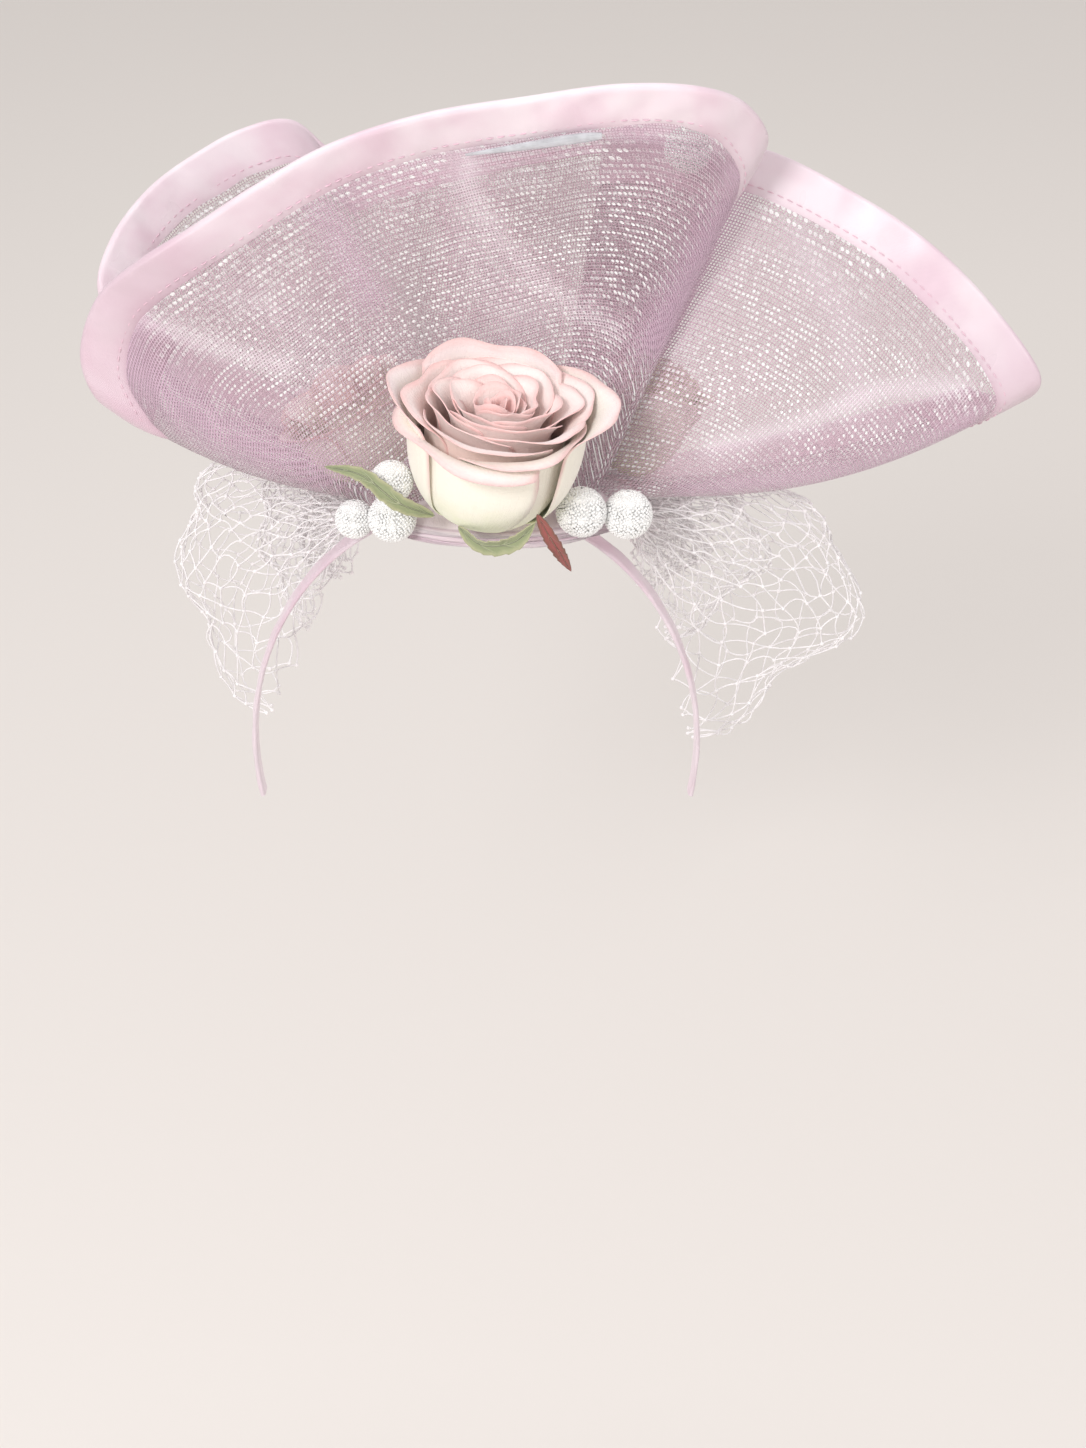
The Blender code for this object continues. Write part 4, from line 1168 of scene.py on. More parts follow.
    def build_edge(self, satin: Material) -> Piece:
        """Makes the satin binding round the rim, more puckered where its two ends meet."""
        waver = 0.003 * soft_noise(self.row[:, None] * 2.4, 8)
        line, facing = self.grid(self.seam + waver, 1.0, EDGE_STEPS)
        out = square_to(line[:, -1] - line[:, -2], np.gradient(line[:, -1], axis=0))
        pucker = PUCKER + JOIN_PUCKER * np.exp(-(((self.row - JOIN_ROW) / JOIN_HALF) ** 2))
        points, uv = wrapped_strip(line, facing, out, BINDING_HALF, pucker, seed=11, lap=0.85)
        # painted shade along the binding from the shade table, with a little random variation, and darker at
        # its two inner edges
        shade = np.interp(self.row, *zip(*self.shades))[:, None]
        shade = shade + 0.10 * soft_noise(np.stack([self.row, 0 * self.row], axis=-1), 4)[:, None]
        edge = np.abs(np.linspace(-1, 1, points.shape[1]))[None] ** 14
        shade = np.clip(shade + 0.25 * edge, 0, 1)
        node = f"brim_{self.name}_binding"
        return self.satin_piece("binding_" + self.name, points, uv, satin, node, shade)

    def satin_piece(
        self, name: str, points: Array, uv: Array, satin: Material, node: str, shade: Array | float = 0.0
    ) -> Piece:
        mesh = Mesh()
        mesh.add(points, grid_quads(*points.shape[:2]), uv, {"shade": shade})
        piece = mesh.make(name, satin, [node])
        area = self.skin_area(points) * MM * MM
        length = float(uv[-1, 0, 0]) * MM
        width = max(LEAST_FLAT, float(uv[0, -1, 1] - uv[0, 0, 1]) * MM)
        area = min(max(area, LEAST_COVER * width * length), width * length)
        return piece

    def build_strips(self, satin: Material) -> None:
        """Makes the satin folded over each end of the sheet, from the base up to the rim's binding."""
        level = np.linspace(0.01, 1.0, STRIP_STEPS)[None] * (self.seam[:, None] + 0.03)
        points = self.at(level)
        facing = grid_facing(points)
        for end, order in (("start", slice(None, STRIP_ROWS)), ("end", slice(None, -STRIP_ROWS - 1, -1))):
            near, normal = points[order], facing[order]
            run = np.cumsum(np.linalg.norm(np.diff(near, axis=0, prepend=near[:1]), axis=2), axis=0)
            wide = np.minimum(self.strip_width, 0.9 * run[-1])
            want = np.linspace(1, 0, EDGE_STEPS)[:, None] * wide
            line = np.stack([read_at(want[:, j], run[:, j], near[:, j]) for j in range(near.shape[1])])
            index = np.argmin(np.abs(run[:, None] - want[None]), axis=0)
            across = normal[index, np.arange(near.shape[1])[None]].transpose(1, 0, 2)
            out = square_to(line[:, -1] - line[:, -2], np.gradient(line[:, -1], axis=0))
            skin, uv = wrapped_strip(line, across, out, 0.75 * BINDING_HALF, pucker=0.15, seed=31)
            self.satin_piece(f"strip_{self.name}_{end}", skin, uv, satin, f"brim_{self.name}_{end}_strip")

    def build_stitches(self, thread: Material) -> Piece:
        """Makes the row of stitches just outside the binding's inner edge, on both faces.

        Args:
            thread: its material.

        Returns:
            The piece. Each stitch is a short tapered tube along the rim, sunk by half its thickness.
        """
        line, facing = self.grid(self.seam, 1.0, EDGE_STEPS)
        mid, face = line[:, 2], facing[:, 2]
        run = run_along(mid)
        starts = np.arange(STITCH_MARGIN, run[-1] - STITCH_MARGIN, STITCH_PITCH)[:, None]
        starts = starts + np.linspace(0, STITCH_LENGTH, 5)[None]
        path = read_at(starts, run, mid)
        normal = unit(read_at(starts, run, face))
        arch = np.array([-0.12, 0.16, 0.22, 0.16, -0.12])[None, :, None]
        thick = np.array([0.08, 0.2, 0.22, 0.2, 0.08])[None]
        mesh = Mesh()
        for turn in (1, -1):
            mesh.add(*tube_patch(path + turn * normal * (BINDING_HALF * 0.42 + arch), thick, 5))
        return mesh.make("stitches_" + self.name, thread)

    def build(self, crin: Material, satin: Material, thread: Material) -> None:
        """Makes the sheet, its binding, its end strips and its stitches."""
        self.build_sheet(crin)
        self.build_edge(satin)
        self.build_strips(satin)
        self.build_stitches(thread)


class PetalRow(NamedTuple):
    """One petal: turn and half span in degrees, reach and rise as shares, curl, lean and blush."""

    turn: float
    span: float
    reach: float
    rise: float
    curl: float
    lean: float
    blush: float


@dataclass
class Rose:
    """A silk rose of separate petals round a wound heart, standing on its foot along its axis."""

    name: str
    foot: Array
    axis: Point
    radius: float
    height: float
    foot_radius: float
    petals: dict[str, tuple[PetalRow, ...]]
    heart: tuple[float, float, float]
    squash: float = 1.0
    seed: int = 3

    def petal(self, row: PetalRow, order: int) -> tuple[Array, Array, Array]:
        """Points, UV and blush of one petal.

        Args:
            row: the petal's sizes.
            order: its number, which picks its ripples.

        Returns:
            Grids of the petal's own steps. With t from foot to lip and s from side to side, the radius grows
            with the sine of t over the wall while the height grows with its power 1.3, the lip then turns
            outwards along an arc of curl radians, and the half span narrows to both ends.
        """
        t = np.linspace(0, 1, PETAL_GRID[0])[:, None]
        s = np.linspace(-1, 1, PETAL_GRID[1])[None]
        phase = 2.1 * order + self.seed
        up = t * (1 - 0.12 * np.abs(s) ** 3 + 0.03 * np.sin(3.1 * s + phase))
        wall, lip = np.clip(up / 0.68, 0, 1), np.clip((up - 0.68) / 0.32, 0, 1)
        ripple = np.sin(2.6 * math.pi * s + phase) * lip**1.5 + 0.5 * np.sin(5.3 * s + 1.7 * phase) * lip**2
        bend = np.maximum(row.curl * (1 + 0.28 * np.sin(2.4 * s + phase)), 0.12)
        length = 0.34 * row.rise * self.height
        spread = row.reach * self.radius - self.foot_radius
        body = self.foot_radius + spread * np.sin(wall**0.75 * math.pi / 2) ** 0.9
        out = body + length / bend * (1 - np.cos(bend * lip)) + row.lean * self.radius * s * up
        out = out + 0.022 * self.radius * ripple
        height = 0.70 * row.rise * self.height * wall**1.3 + length / bend * np.sin(bend * lip)
        height = height + 0.018 * self.height * np.sin(3.7 * s + phase) * lip
        angle = np.radians(row.turn) + np.radians(row.span) * s * np.sin(math.pi * (0.17 + 0.60 * up)) ** 0.75
        points = np.stack([out * np.cos(angle), self.squash * out * np.sin(angle), height], axis=-1)
        rim = lip**1.2 * 0.5 + (np.abs(s) ** 4) * lip * 0.2
        return stand_on(points, self.foot, self.axis), paired(s, t), row.blush + rim

    def heart_roll(self) -> tuple[Array, Array, Array]:
        """Points, UV and blush of the wound heart: a ribbon whose radius shrinks as it turns inwards."""
        reach, rise, turns = self.heart
        s = np.linspace(0, 1, HEART_GRID[0])[:, None]
        t = np.linspace(0, 1, HEART_GRID[1])[None]
        angle = 2 * math.pi * turns * s
        out = reach * self.radius * (1 - 0.86 * s**0.85) * (0.62 + 0.38 * t**0.6)
        out = out * (1 + 0.05 * np.sin(3 * angle))
        out = out + 0.05 * self.radius * t**5 * (1 - s)
        top = rise * self.height * (1 - 0.05 * np.sin(2.3 * angle + 0.6) - 0.05 * s)
        height = (0.35 + 0.65 * t) * top
        points = np.stack([out * np.cos(angle), self.squash * out * np.sin(angle), height], axis=-1)
        blush = 0.55 + 0.3 * t**3 + 0 * s
        return stand_on(points, self.foot, self.axis), paired(6 * s, 0.5 + 0.5 * t), blush

    def build(self, silks: dict[str, Material], slots: dict[str, Slot]) -> None:
        """Makes one piece for each ring of petals and one for the heart."""
        order = 0
        for ring, rows in self.petals.items():
            mesh = Mesh()
            for row in rows:
                points, uv, blush = self.petal(row, order)
                mesh.add(points, grid_quads(*PETAL_GRID), uv, {"blush": blush})
                order += 1
            self.finish(mesh, ring, silks, slots)
        mesh = Mesh()
        points, uv, blush = self.heart_roll()
        mesh.add(points, grid_quads(*HEART_GRID), uv, {"blush": blush})
        self.finish(mesh, "heart", silks, slots)

    def finish(self, mesh: Mesh, ring: str, silks: dict[str, Material], slots: dict[str, Slot]) -> None:
        """Makes the piece and gives its cloth a thickness."""
        give_wall(mesh.make(f"{self.name}_{ring}_petals", silks[ring], [f"{self.name}_{ring}"]))


def wound(count: int, start: float, first: PetalRow, last: PetalRow) -> tuple[PetalRow, ...]:
    """Petals wound inwards at the golden angle, their other sizes going evenly from the first to the last."""
    share = np.linspace(0, 1, count)[:, None]
    rows = np.array(first) * (1 - share) + np.array(last) * share
    rows[:, 0] = start + 137.5 * np.arange(count)
    return tuple(PetalRow(*row) for row in rows.tolist())


def front_rose() -> Rose:
    """The big rose at the front, its petals from the outside in."""
    outer = (
        PetalRow(12, 54, 0.92, 1.13, 1.10, 0.02, 0.05),
        PetalRow(96, 66, 0.78, 1.16, 0.40, 0.03, 0.20),
        PetalRow(168, 58, 0.86, 1.10, 0.80, 0.03, 0.12),
        PetalRow(-52, 66, 0.79, 1.05, 1.50, -0.05, 0.00),
        PetalRow(-126, 70, 0.82, 1.04, 2.45, 0.08, 0.08),
    )
    widest = PetalRow(0, 66, 0.74, 1.10, 1.20, 0.07, 0.14)
    closest = PetalRow(0, 90, 0.22, 1.05, 0.55, 0.09, 0.36)
    inner = wound(18, -108.0, widest, closest)
    foot = on_base(-0.08, -0.90, ROSE_STEM + GAP)
    axis = (0.11, -0.20, 0.97)
    rings = {"outer": outer, "inner": inner}
    return Rose("rose_front", foot, axis, ROSE_RADIUS, ROSE_HEIGHT, ROSE_FOOT, rings, (0.24, 1.04, 2.6), 0.92)


def left_rose() -> Rose:
    """The pale rose at the left, behind the crin."""
    outer = tuple(
        PetalRow(turn, 62, 0.88 * reach, rise, 1.1, 0.04, blush)
        for turn, reach, rise, blush in (
            (-95, 1.0, 0.86, 0.0),
            (-20, 0.98, 0.98, 0.08),
            (55, 0.92, 1.04, 0.10),
            (125, 0.92, 1.04, 0.10),
            (-165, 1.0, 0.92, 0.02),
            (-60, 0.72, 1.06, 0.20),
            (30, 0.70, 1.12, 0.22),
            (150, 0.70, 1.10, 0.20),
        )
    )
    foot = on_base(-0.80, -0.06, SIDE_ROSE_STEM + GAP)
    rings = {"outer": outer}
    return Rose(
        "rose_left", foot, (-0.45, -0.02, 0.88), SIDE_ROSE_RADIUS, SIDE_ROSE_HEIGHT, SIDE_ROSE_FOOT, rings,
        (0.48, 1.17, 2.2), SIDE_SQUASH, 5,
    )


def right_bud() -> Rose:
    """The cream bud at the right, behind the crin."""
    outer = tuple(
        PetalRow(turn, 68, 0.90 * reach, rise, 0.55, 0.05, 0.0)
        for turn, reach, rise in (
            (-80, 1.0, 0.94),
            (0, 0.98, 1.0),
            (85, 0.95, 1.02),
            (170, 0.98, 0.98),
            (-40, 0.72, 1.06),
            (100, 0.70, 1.08),
        )
    )
    foot = on_base(0.87, 0.24, BUD_STEM + GAP)
    rings = {"outer": outer}
    return Rose(
        "rose_right", foot, (0.42, 0.0, 0.90), BUD_RADIUS, BUD_HEIGHT, BUD_FOOT, rings,
        (0.52, 1.08, 2.0), SIDE_SQUASH, 7,
    )


@dataclass
class Blade:
    """One leaf or sepal along a path of base shares, pointed at both ends, its edges toothed and lifted."""

    name: str
    half_width: float
    facing: Point
    path: tuple[Point, ...]
    slot: Slot
    cup: float = 0.35

    def build(self, cloth: Material) -> Piece:
        """Makes the blade.

        Args:
            cloth: its material.

        Returns:
            The piece. Its half width is the power 0.75 of a sine along it, less small teeth, and its sides
            lift with the square of the share across.
        """
        knots_at = np.array([on_base(across, deep, rise * ROSE_HEIGHT) for across, deep, rise in self.path])
        knots = knots_of(knots_at)
        line = curve_through(knots_at, knots, np.linspace(0, knots[-1], BLADE_GRID[0]))
        along = unit(np.gradient(line, axis=0))
        side = unit(np.cross(along, np.array(self.facing)))
        up = np.cross(side, along)
        share = np.linspace(0, 1, BLADE_GRID[0])
        width = self.half_width * np.sin(math.pi * share**0.8).clip(0) ** 0.75
        tooth = 1 - 0.22 * ((share * 9) % 1.0) * np.sin(math.pi * share)
        s = np.linspace(-1, 1, BLADE_GRID[1])
        reach = (width * tooth)[:, None, None] * s[None, :, None] * side[:, None]
        lift = self.cup * (width[:, None] * s[None] ** 2)[..., None] * up[:, None]
        wave = 0.35 * np.sin(9 * share[:, None] + 2 * s[None])[..., None] * np.abs(s)[None, :, None]
        points = line[:, None] + reach + lift + wave * up[:, None] * np.sin(math.pi * share)[:, None, None]
        uv = paired(s[None], share[:, None])
        mesh = Mesh()
        mesh.add(points, grid_quads(*BLADE_GRID), uv)
        piece = mesh.make("cloth_" + self.name, cloth, [self.name])
        give_wall(piece)
        return piece


LEAF_PATH = ((-0.41, -1.23, 0.385), (-0.645, -1.42, 0.74), (-0.88, -1.30, 0.92), (-1.15, -1.05, 0.90))
GREEN_SEPAL_PATH = ((-0.25, -1.33, 0.37), (-0.08, -1.52, 0.41), (0.13, -1.60, 0.53), (0.27, -1.63, 0.73))
RED_SEPAL_PATH = ((0.28, -1.635, 0.80), (0.355, -1.61, 0.62), (0.44, -1.50, 0.35), (0.51, -1.36, 0.08))


@dataclass
class BeadBall:
    """A ball covered in small beads, one winding spiral from pole to pole."""

    name: str
    centre: Array
    radius: float
    seed: int

    def build(self, pearl: Material) -> Piece:
        """Makes the ball.

        Args:
            pearl: its material.

        Returns:
            The piece: a core, and beads at golden-angle turns over it, each nudged by a seeded share of its
            own size.
        """
        pick = np.random.default_rng(self.seed)
        skin = self.radius - BEAD_RADIUS * 0.75
        count = int(BEAD_COVER * 4 * skin**2 / BEAD_RADIUS**2)
        k = np.arange(count) + 0.5
        rise = 1 - 2 * k / count
        turn = k * math.pi * (1 + math.sqrt(5))
        flat = np.sqrt(1 - rise**2)
        way = np.stack([flat * np.cos(turn), flat * np.sin(turn), rise], axis=1)
        way = unit(way + pick.normal(0, 0.02, way.shape))
        size = BEAD_RADIUS * pick.uniform(0.9, 1.08, count)
        lean = unit(way + pick.normal(0, 0.5, way.shape))
        mesh = Mesh()
        mesh.add(*ball_patch(self.centre + way * skin, lean, size, BEAD_SQUASH))
        mesh.add(*ball_patch(self.centre[None], np.array([[0.0, 0.0, 1.0]]), skin + CORE_STAND, 1.0))
        return mesh.make("beads_" + self.name, pearl, [self.name])


@dataclass
class GlueRun:
    """Long clear bead of glue on the front sheet, just under its binding."""

    sheet: Brim

    def build(self, glue: Material) -> Piece:
        """Makes the glue: rings along the sheet whose size swells with a power of a sine."""
        steps, sides = GLUE_GRID
        places = np.linspace(*GLUE_RUN, steps)
        spots = [self.sheet.spot(u, GLUE_LEVEL) for u in places]
        mid = np.array([spot[0] for spot in spots])
        face = np.array([-spot[1] * np.sign(spot[1][1]) for spot in spots])
        higher = np.array([self.sheet.spot(u, GLUE_LEVEL + 0.02)[0] for u in places])
        up = square_to(higher - mid, np.gradient(mid, axis=0))
        share = np.linspace(0, 1, steps)[:, None]
        half = GLUE_RADIUS * np.sin(math.pi * (0.04 + 0.92 * share)) ** 0.4 * (0.36 + 0.64 * share**1.5)
        centre = mid + face * (SHEET_HALF + GAP + 0.45 * GLUE_RADIUS)
        angle = full_turn(sides)[None, :, None]
        ring = np.cos(angle) * up[:, None] + 0.55 * np.sin(angle) * face[:, None]
        points = centre[:, None] + half[:, None] * ring
        mesh = Mesh()
        mesh.add(points, grid_quads(steps, sides, wrap=True))
        ends = np.concatenate([points[0], points[-1], centre[:1], centre[-1:]])
        j = np.arange(sides)
        after, hub = (j + 1) % sides, j * 0 + 2 * sides
        fans = [np.stack([after, j, hub], -1), np.stack([sides + j, sides + after, hub + 1], -1)]
        mesh.add(ends, np.concatenate(fans))
        return mesh.make("glue_run", glue, ["glue_bead"])


@dataclass
class Veil:
    """Net pouch gathered at the base's side: several crumpled layers of diamond net, strand by strand."""

    name: str
    side: Side
    gather: Array
    reach: float
    rows: tuple[VeilRow, ...]
    cells: tuple[int, int] = (18, 26)
    layers: tuple[float, ...] = (1.0, 0.60, 0.40)
    seed: int = 5

    def surface(self, share: Array, fold: Array, scale: float, seed: int) -> Array:
        """Points of one layer.

        Args:
            share: 0 to 1 round the fan from its upper line to its lower.
            fold: -1 to 1 from the front of the gather, over the outer fold, to the back.
            scale: the layer's reach as a share of the veil's.
            seed: picks its crumples.

        Returns:
            Points. Each lies at the fan's reach times the cosine of the fold angle, and deep by its sine,
            plus crumples that are strongest half way out.
        """
        table = np.array(self.rows)
        own = np.linspace(0, 1, len(self.rows))
        flat = share.ravel()
        turn = np.radians(curve_through(table[:, :1], own, flat)[:, 0]).reshape(share.shape)
        radius = scale * self.reach * curve_through(table[:, 1:], own, flat)[:, 0].reshape(share.shape)
        angle = np.radians(VEIL_FOLD) * fold
        out = radius * np.cos(angle) * (1 + 0.05 * np.sin(5 * share * math.pi + 2 * angle))
        deep = VEIL_HALF_DEPTH * scale * np.sin(angle) * (0.75 + 0.35 * np.sin(math.pi * share))
        x, y, z = self.gather
        sideways = self.side.value * out * np.cos(turn)
        points = np.stack([x + sideways, y + deep, z - out * np.sin(turn)], axis=-1)
        places = points / CRUMPLE_SIZE
        strength = (np.abs(fold) ** 0.7 * np.cos(angle) ** 0.5 * 2.5 + (1.0 - scale) * 9.0)[..., None]
        crumple = np.stack([soft_noise(places, seed + k) for k in range(3)], axis=-1)
        return points + crumple * strength * np.clip(out / 25.0, 0, 1)[..., None] * 0.6

    def build(self, thread: Material) -> Piece:
        """Makes the net.

        Args:
            thread: its material.

        Returns:
            The piece. Knots lie where the grid's row and column add up to an even number, nudged a little,
            and a strand bows gently between each knot and its two neighbours in the next row.
        """
        mesh = Mesh()
        rows, cols = self.cells
        for layer, scale in enumerate(self.layers):
            pick = np.random.default_rng(self.seed + layer)
            shift = pick.uniform(-0.5, 0.5, 2) / (rows, cols)
            i, j = np.meshgrid(np.arange(rows + 1), np.arange(cols + 1), indexing="ij")
            nudge = pick.uniform(-0.22, 0.22, (2, *i.shape))
            share = np.clip((i + nudge[0]) / rows + shift[0] * (layer > 0), 0, 1)
            fold = np.clip(2 * (j + nudge[1]) / cols - 1, -1, 1)
            knots = self.surface(share, fold, scale, 40 * layer + self.seed)
            starts, ends = [], []
            for step in (1, -1):
                keep = ((i + j) % 2 == 0) & (i < rows) & (j + step >= 0) & (j + step <= cols)
                starts.append(knots[keep])
                ends.append(knots[i[keep] + 1, j[keep] + step])
            a, b = np.concatenate(starts), np.concatenate(ends)
            t = np.linspace(0, 1, 5)[None, :, None]
            bow = pick.normal(0, 0.10, (len(a), 1, 3)) * np.linalg.norm(b - a, axis=1)[:, None, None]
            paths = a[:, None] * (1 - t) + b[:, None] * t + 4 * t * (1 - t) * bow
            mesh.add(*tube_patch(paths, STRAND_RADIUS, 4))
            tied = knots[(i + j) % 2 == 0]
            ways = unit(pick.normal(size=tied.shape))
            mesh.add(*ball_patch(tied, ways, KNOT_SHARE * STRAND_RADIUS, KNOT_SQUASH))
        return mesh.make("net_" + self.side.name.lower(), thread, [self.name])


@dataclass
class SatinBase:
    """Oval satin board with stacked pleats round its edge."""

    pleats: int = 3
    around: int = 220

    def build(self, satin: Material) -> Piece:
        """Makes the base.

        Args:
            satin: its material.

        Returns:
            The piece. Its edge goes in and out once for each pleat, a rounded fold over a sharp crease, and
            each pleat's depth wavers a little round the oval.
        """
        turn = full_turn(self.around)
        profile = [(0.02, 0.0, 0.0), (0.5, 0.0, 0.0), (0.93, 0.0, 0.0)]
        for k in range(self.pleats):
            for step in np.linspace(0, 1, 8):
                bulge = math.sin(math.pi * step) ** 0.6 if 0 < step < 1 else 0.0
                profile.append((1.0, (k + 0.04 + 0.92 * step) / self.pleats, BASE_PLEAT * bulge))
        profile += [(0.985, 1.0, 0.0), (0.8, 1.03, 0.0), (0.5, 1.0, 0.0), (0.02, 1.0, 0.0)]
        rings, marks, shades = [], [], []
        for number, (radius, rise, bulge) in enumerate(profile):
            waver = 0.25 * np.sin(9 * turn + 1.3 * number) * (bulge > 0)
            x = BASE_CENTRE[0] + (BASE_HALF_WIDTH * radius + bulge + waver) * np.cos(turn)
            y = BASE_CENTRE[1] + (BASE_HALF_DEPTH * radius + bulge + waver) * np.sin(turn)
            z = dome_height(x, y) + BASE_THICKNESS * rise + 0.2 * np.sin(5 * turn + number) * (bulge > 0)
            rings.append(np.stack([x, y, z], axis=1))
            marks.append(np.stack([turn * 42.0, 0 * turn + 2.0 * number], axis=1))
            # painted shade in the sharp creases between the pleats
            shades.append(0 * turn + 0.6 * (radius == 1.0 and bulge == 0.0))
        mesh = Mesh()
        points, uv = np.array(rings), np.array(marks)
        mesh.add(points, grid_quads(len(rings), self.around, wrap=True), uv, {"shade": np.array(shades)})
        for row, order in ((0, 1), (len(rings) - 1, -1)):
            mesh.add(points[row], np.arange(self.around)[None, ::order], uv[row], {"shade": 0.0})
        return mesh.make("satin_base", satin, ["base"])


@dataclass
class SatinHeadband:
    """Satin-covered band over the crown."""

    around: int = 140
    shade: float = 0.15

    def build(self, satin: Material) -> Piece:
        """Makes the band: a rounded flat section carried along an arch of the head's own oval."""
        limit = math.acos((HEAD_HALF_HEIGHT - BAND_END_DROP) / HEAD_HALF_HEIGHT)
        turn = np.linspace(-limit, limit, self.around)
        width = BAND_WIDTH * (1 - 0.25 * (turn / limit) ** 4)
        angle = full_turn(BAND_SIDES)
        across = 0.5 * np.sign(np.cos(angle)) * np.abs(np.cos(angle)) ** 0.6
        rise = 0.5 + 0.5 * np.sign(np.sin(angle)) * np.abs(np.sin(angle)) ** 0.7
        wind = 0.06 * np.sin(turn[:, None] * 34 + 6 * across[None])
        lift = BAND_THICKNESS * (rise[None] + wind * (rise[None] > 0.4))
        x = (HEAD_HALF_WIDTH + lift) * np.sin(turn)[:, None]
        z = (HEAD_HALF_HEIGHT + lift) * np.cos(turn)[:, None] - HEAD_HALF_HEIGHT
        points = np.stack([x, across[None] * width[:, None], z], axis=-1)
        uv = paired(turn[:, None] * 85.0, np.arange(BAND_SIDES)[None] * 1.1)
        mesh = Mesh()
        mesh.add(points, grid_quads(self.around, BAND_SIDES, wrap=True), uv, {"shade": self.shade})
        for end, order in ((0, 1), (-1, -1)):
            mesh.add(points[end], np.arange(BAND_SIDES)[None, ::order], uv[end], {"shade": self.shade})
        return mesh.make("satin_headband", satin, ["headband"])


@dataclass(frozen=True)
class Lamp:
    """One soft area light, its place in metres, its size and its power."""

    name: str
    place: Point
    aim: Point
    size: float
    power: float

    def build(self) -> None:
        """Makes the light, turned to what it aims at."""
        light = bpy.data.lights.new(self.name, "AREA")
        light.shape = "DISK"
        light.size = self.size
        light.energy = self.power
        lamp = in_scene(self.name, light)
        lamp.location = self.place
        way = np.array(self.aim) - np.array(self.place)
        flat = math.hypot(way[0], way[1])
        lamp.rotation_euler = (math.atan2(flat, -way[2]), 0.0, math.atan2(way[1], way[0]) - math.pi / 2)


@dataclass
class Studio:
    """Plain pale floor, soft light and the camera at the photograph's angle."""

    floor_drop: float = 0.34
    floor_reach: float = 14.0
    sky: Colour = (1.0, 0.98, 0.965)
    sky_strength: float = 0.78
    camera_place: Point = (0.023, -0.783, 0.331)
    camera_pitch: float = 27.8
    lens: float = 64.02
    sensor: float = 36.0
    lamps: tuple[Lamp, ...] = (
        Lamp("key", (-0.50, -1.20, 0.78), (0.0, 0.0, 0.05), 0.40, 11.0),
        Lamp("fill", (1.2, -1.0, 0.3), (0.0, 0.0, 0.02), 0.8, 2.0),
        Lamp("top", (0.0, 0.9, 1.5), (0.0, 0.3, -0.2), 0.9, 5.0),
    )

    def build(self) -> None:
        """Makes the floor, the lights and the camera."""
        mesh = bpy.data.meshes.new("studio_floor")
        reach = self.floor_reach
        corners = [(-reach, -reach), (reach, -reach), (reach, reach), (-reach, reach)]
        mesh.from_pydata([(x, y, -self.floor_drop) for x, y in corners], [], [(0, 1, 2, 3)])
        mesh.materials.append(Backdrop().material())
        in_scene("studio_floor", mesh)
        for lamp in self.lamps:
            lamp.build()
        world = bpy.data.worlds.new("studio_light")
        world.use_nodes = True
        light = world.node_tree.nodes["Background"]
        light.inputs["Color"].default_value = (*self.sky, 1.0)
        light.inputs["Strength"].default_value = self.sky_strength
        bpy.context.scene.world = world
        bpy.context.scene.view_settings.view_transform = "Standard"
        data = bpy.data.cameras.new("camera")
        data.lens = self.lens
        data.sensor_width = self.sensor
        camera = in_scene("camera", data)
        camera.location = self.camera_place
        camera.rotation_euler = (math.radians(90 - self.camera_pitch), 0.0, 0.0)
        bpy.context.scene.camera = camera


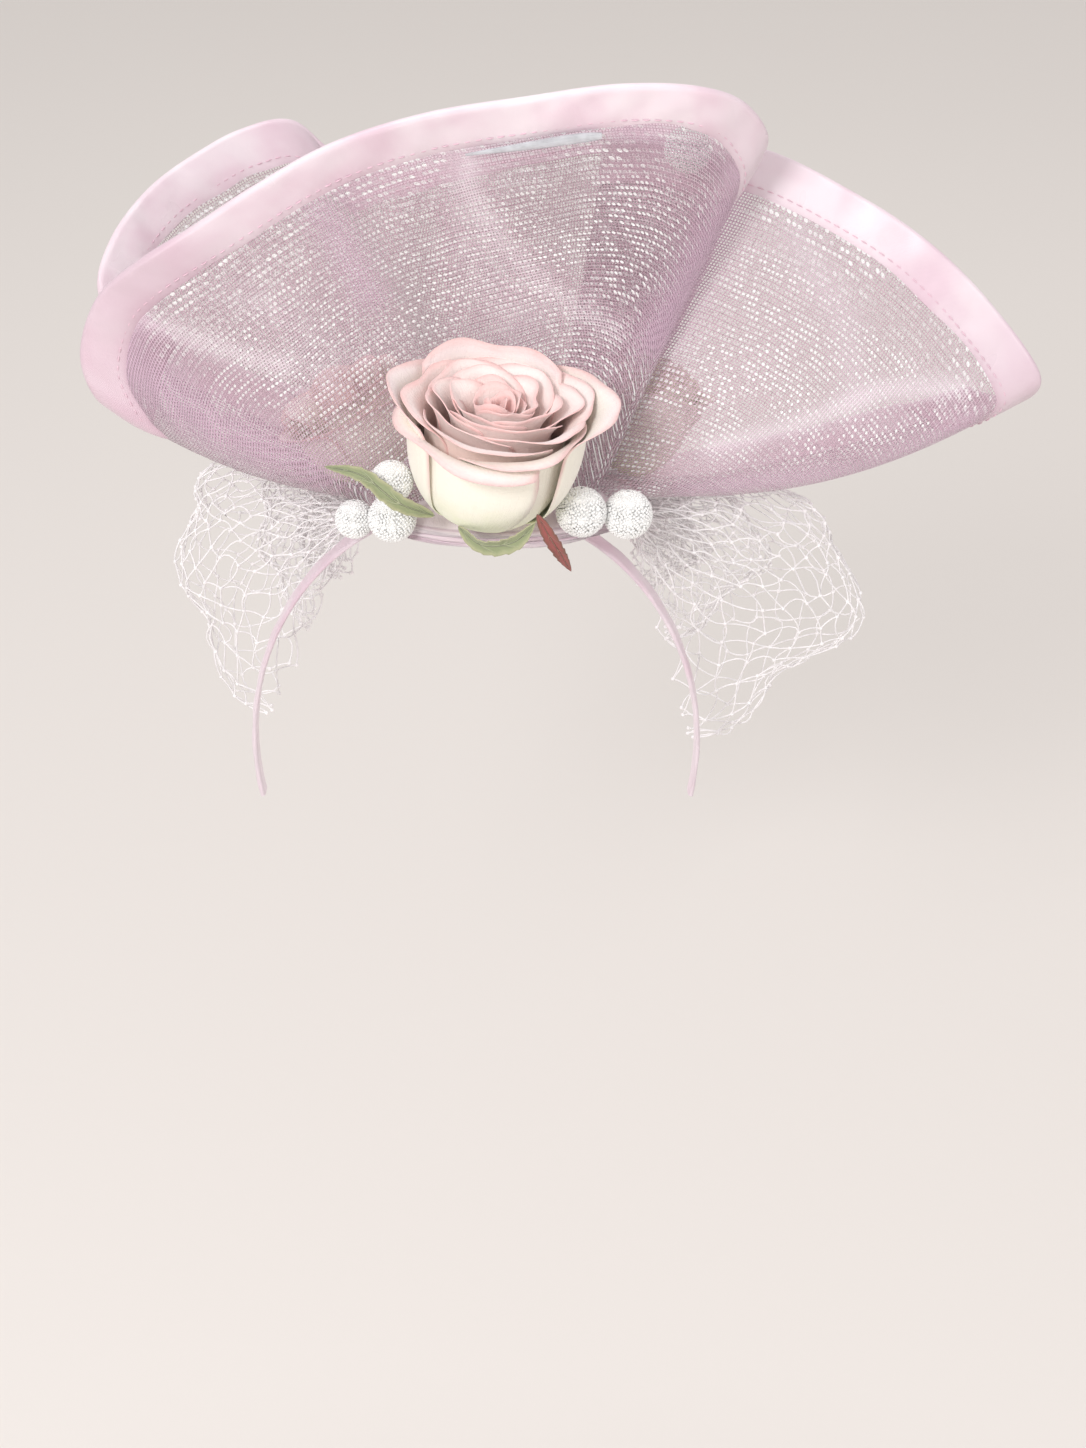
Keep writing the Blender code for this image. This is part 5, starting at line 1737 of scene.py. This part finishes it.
def main() -> None:
    """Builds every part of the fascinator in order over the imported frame."""
    logging.basicConfig(level=logging.INFO, format="%(name)s: %(message)s")
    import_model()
    Studio().build()
    satin = Satin().material()
    crin = Crin().material()
    stitch = Thread(STITCH_COLOUR).material()
    cream = Silk(*CREAM_SILK, Slot.CREAM).material()
    blush = Silk(*BLUSH_SILK, Slot.BLUSH).material()
    pale = Silk(*PALE_SILK, Slot.BLUSH).material()
    pearl = Pearl().material()
    green = Leaf(*GREEN_CLOTH, Slot.LEAF).material()
    red = Leaf(*RED_CLOTH, Slot.SEPAL).material()
    SatinBase().build(satin)
    SatinHeadband().build(satin)
    front = Brim(
        "front",
        FRONT_ROWS,
        ruffle=1.2,
        ruffle_turns=5.0,
        cuts=(3.0, 16.2, 21.0, 28.2),
        creases=FRONT_CREASES,
        shades=FRONT_SHADES,
    )
    rear = Brim(
        "rear",
        REAR_ROWS,
        ruffle=1.0,
        ruffle_turns=3.0,
        cuts=(1.5, 7.5),
        creases=REAR_CREASES,
        shades=REAR_SHADES,
        count=300,
        levels=44,
    )
    front.build(crin, satin, stitch)
    rear.build(crin, satin, stitch)
    silks = {"outer": cream, "inner": blush, "heart": blush}
    slots = {"outer": Slot.CREAM, "inner": Slot.BLUSH, "heart": Slot.BLUSH}
    front_rose().build(silks, slots)
    left_rose().build({"outer": cream, "heart": pale}, slots)
    ivory = Silk(*IVORY_SILK, Slot.CREAM).material()
    right_bud().build({"outer": ivory, "heart": ivory}, {"outer": Slot.CREAM, "heart": Slot.CREAM})
    Blade("leaf", 2.9, (0.1, -0.9, 0.4), LEAF_PATH, Slot.LEAF).build(green)
    Blade("sepal_green", 3.8, (0.0, -0.9, -0.35), GREEN_SEPAL_PATH, Slot.LEAF).build(green)
    Blade("sepal_red", 2.3, (0.0, -1.0, 0.2), RED_SEPAL_PATH, Slot.SEPAL).build(red)
    for seed, row in enumerate(BALL_ROWS):
        centre = on_base(row.across, row.deep, row.lift * BALL_RADIUS)
        BeadBall(row.name, centre, row.size * BALL_RADIUS, seed).build(pearl)
    spot, normal = front.spot(*HIGH_BALL_PLACE)
    high = HIGH_BALL_SIZE * BALL_RADIUS
    centre = spot + (high + SHEET_HALF + 2 * GAP) * normal * np.sign(normal[1])
    BeadBall("ball_high", centre, high, 9).build(pearl)
    GlueRun(front).build(Glue().material())
    net = Thread().material()
    for name, side, across, reach, rows in (
        ("veil_left", Side.LEFT, -0.91, 93.0, LEFT_VEIL_ROWS),
        ("veil_right", Side.RIGHT, 0.86, 100.0, RIGHT_VEIL_ROWS),
    ):
        Veil(name, side, on_base(across, VEIL_DEEP, -BASE_THICKNESS - VEIL_DROP), reach, rows).build(net)


if __name__ == "__main__":
    main()
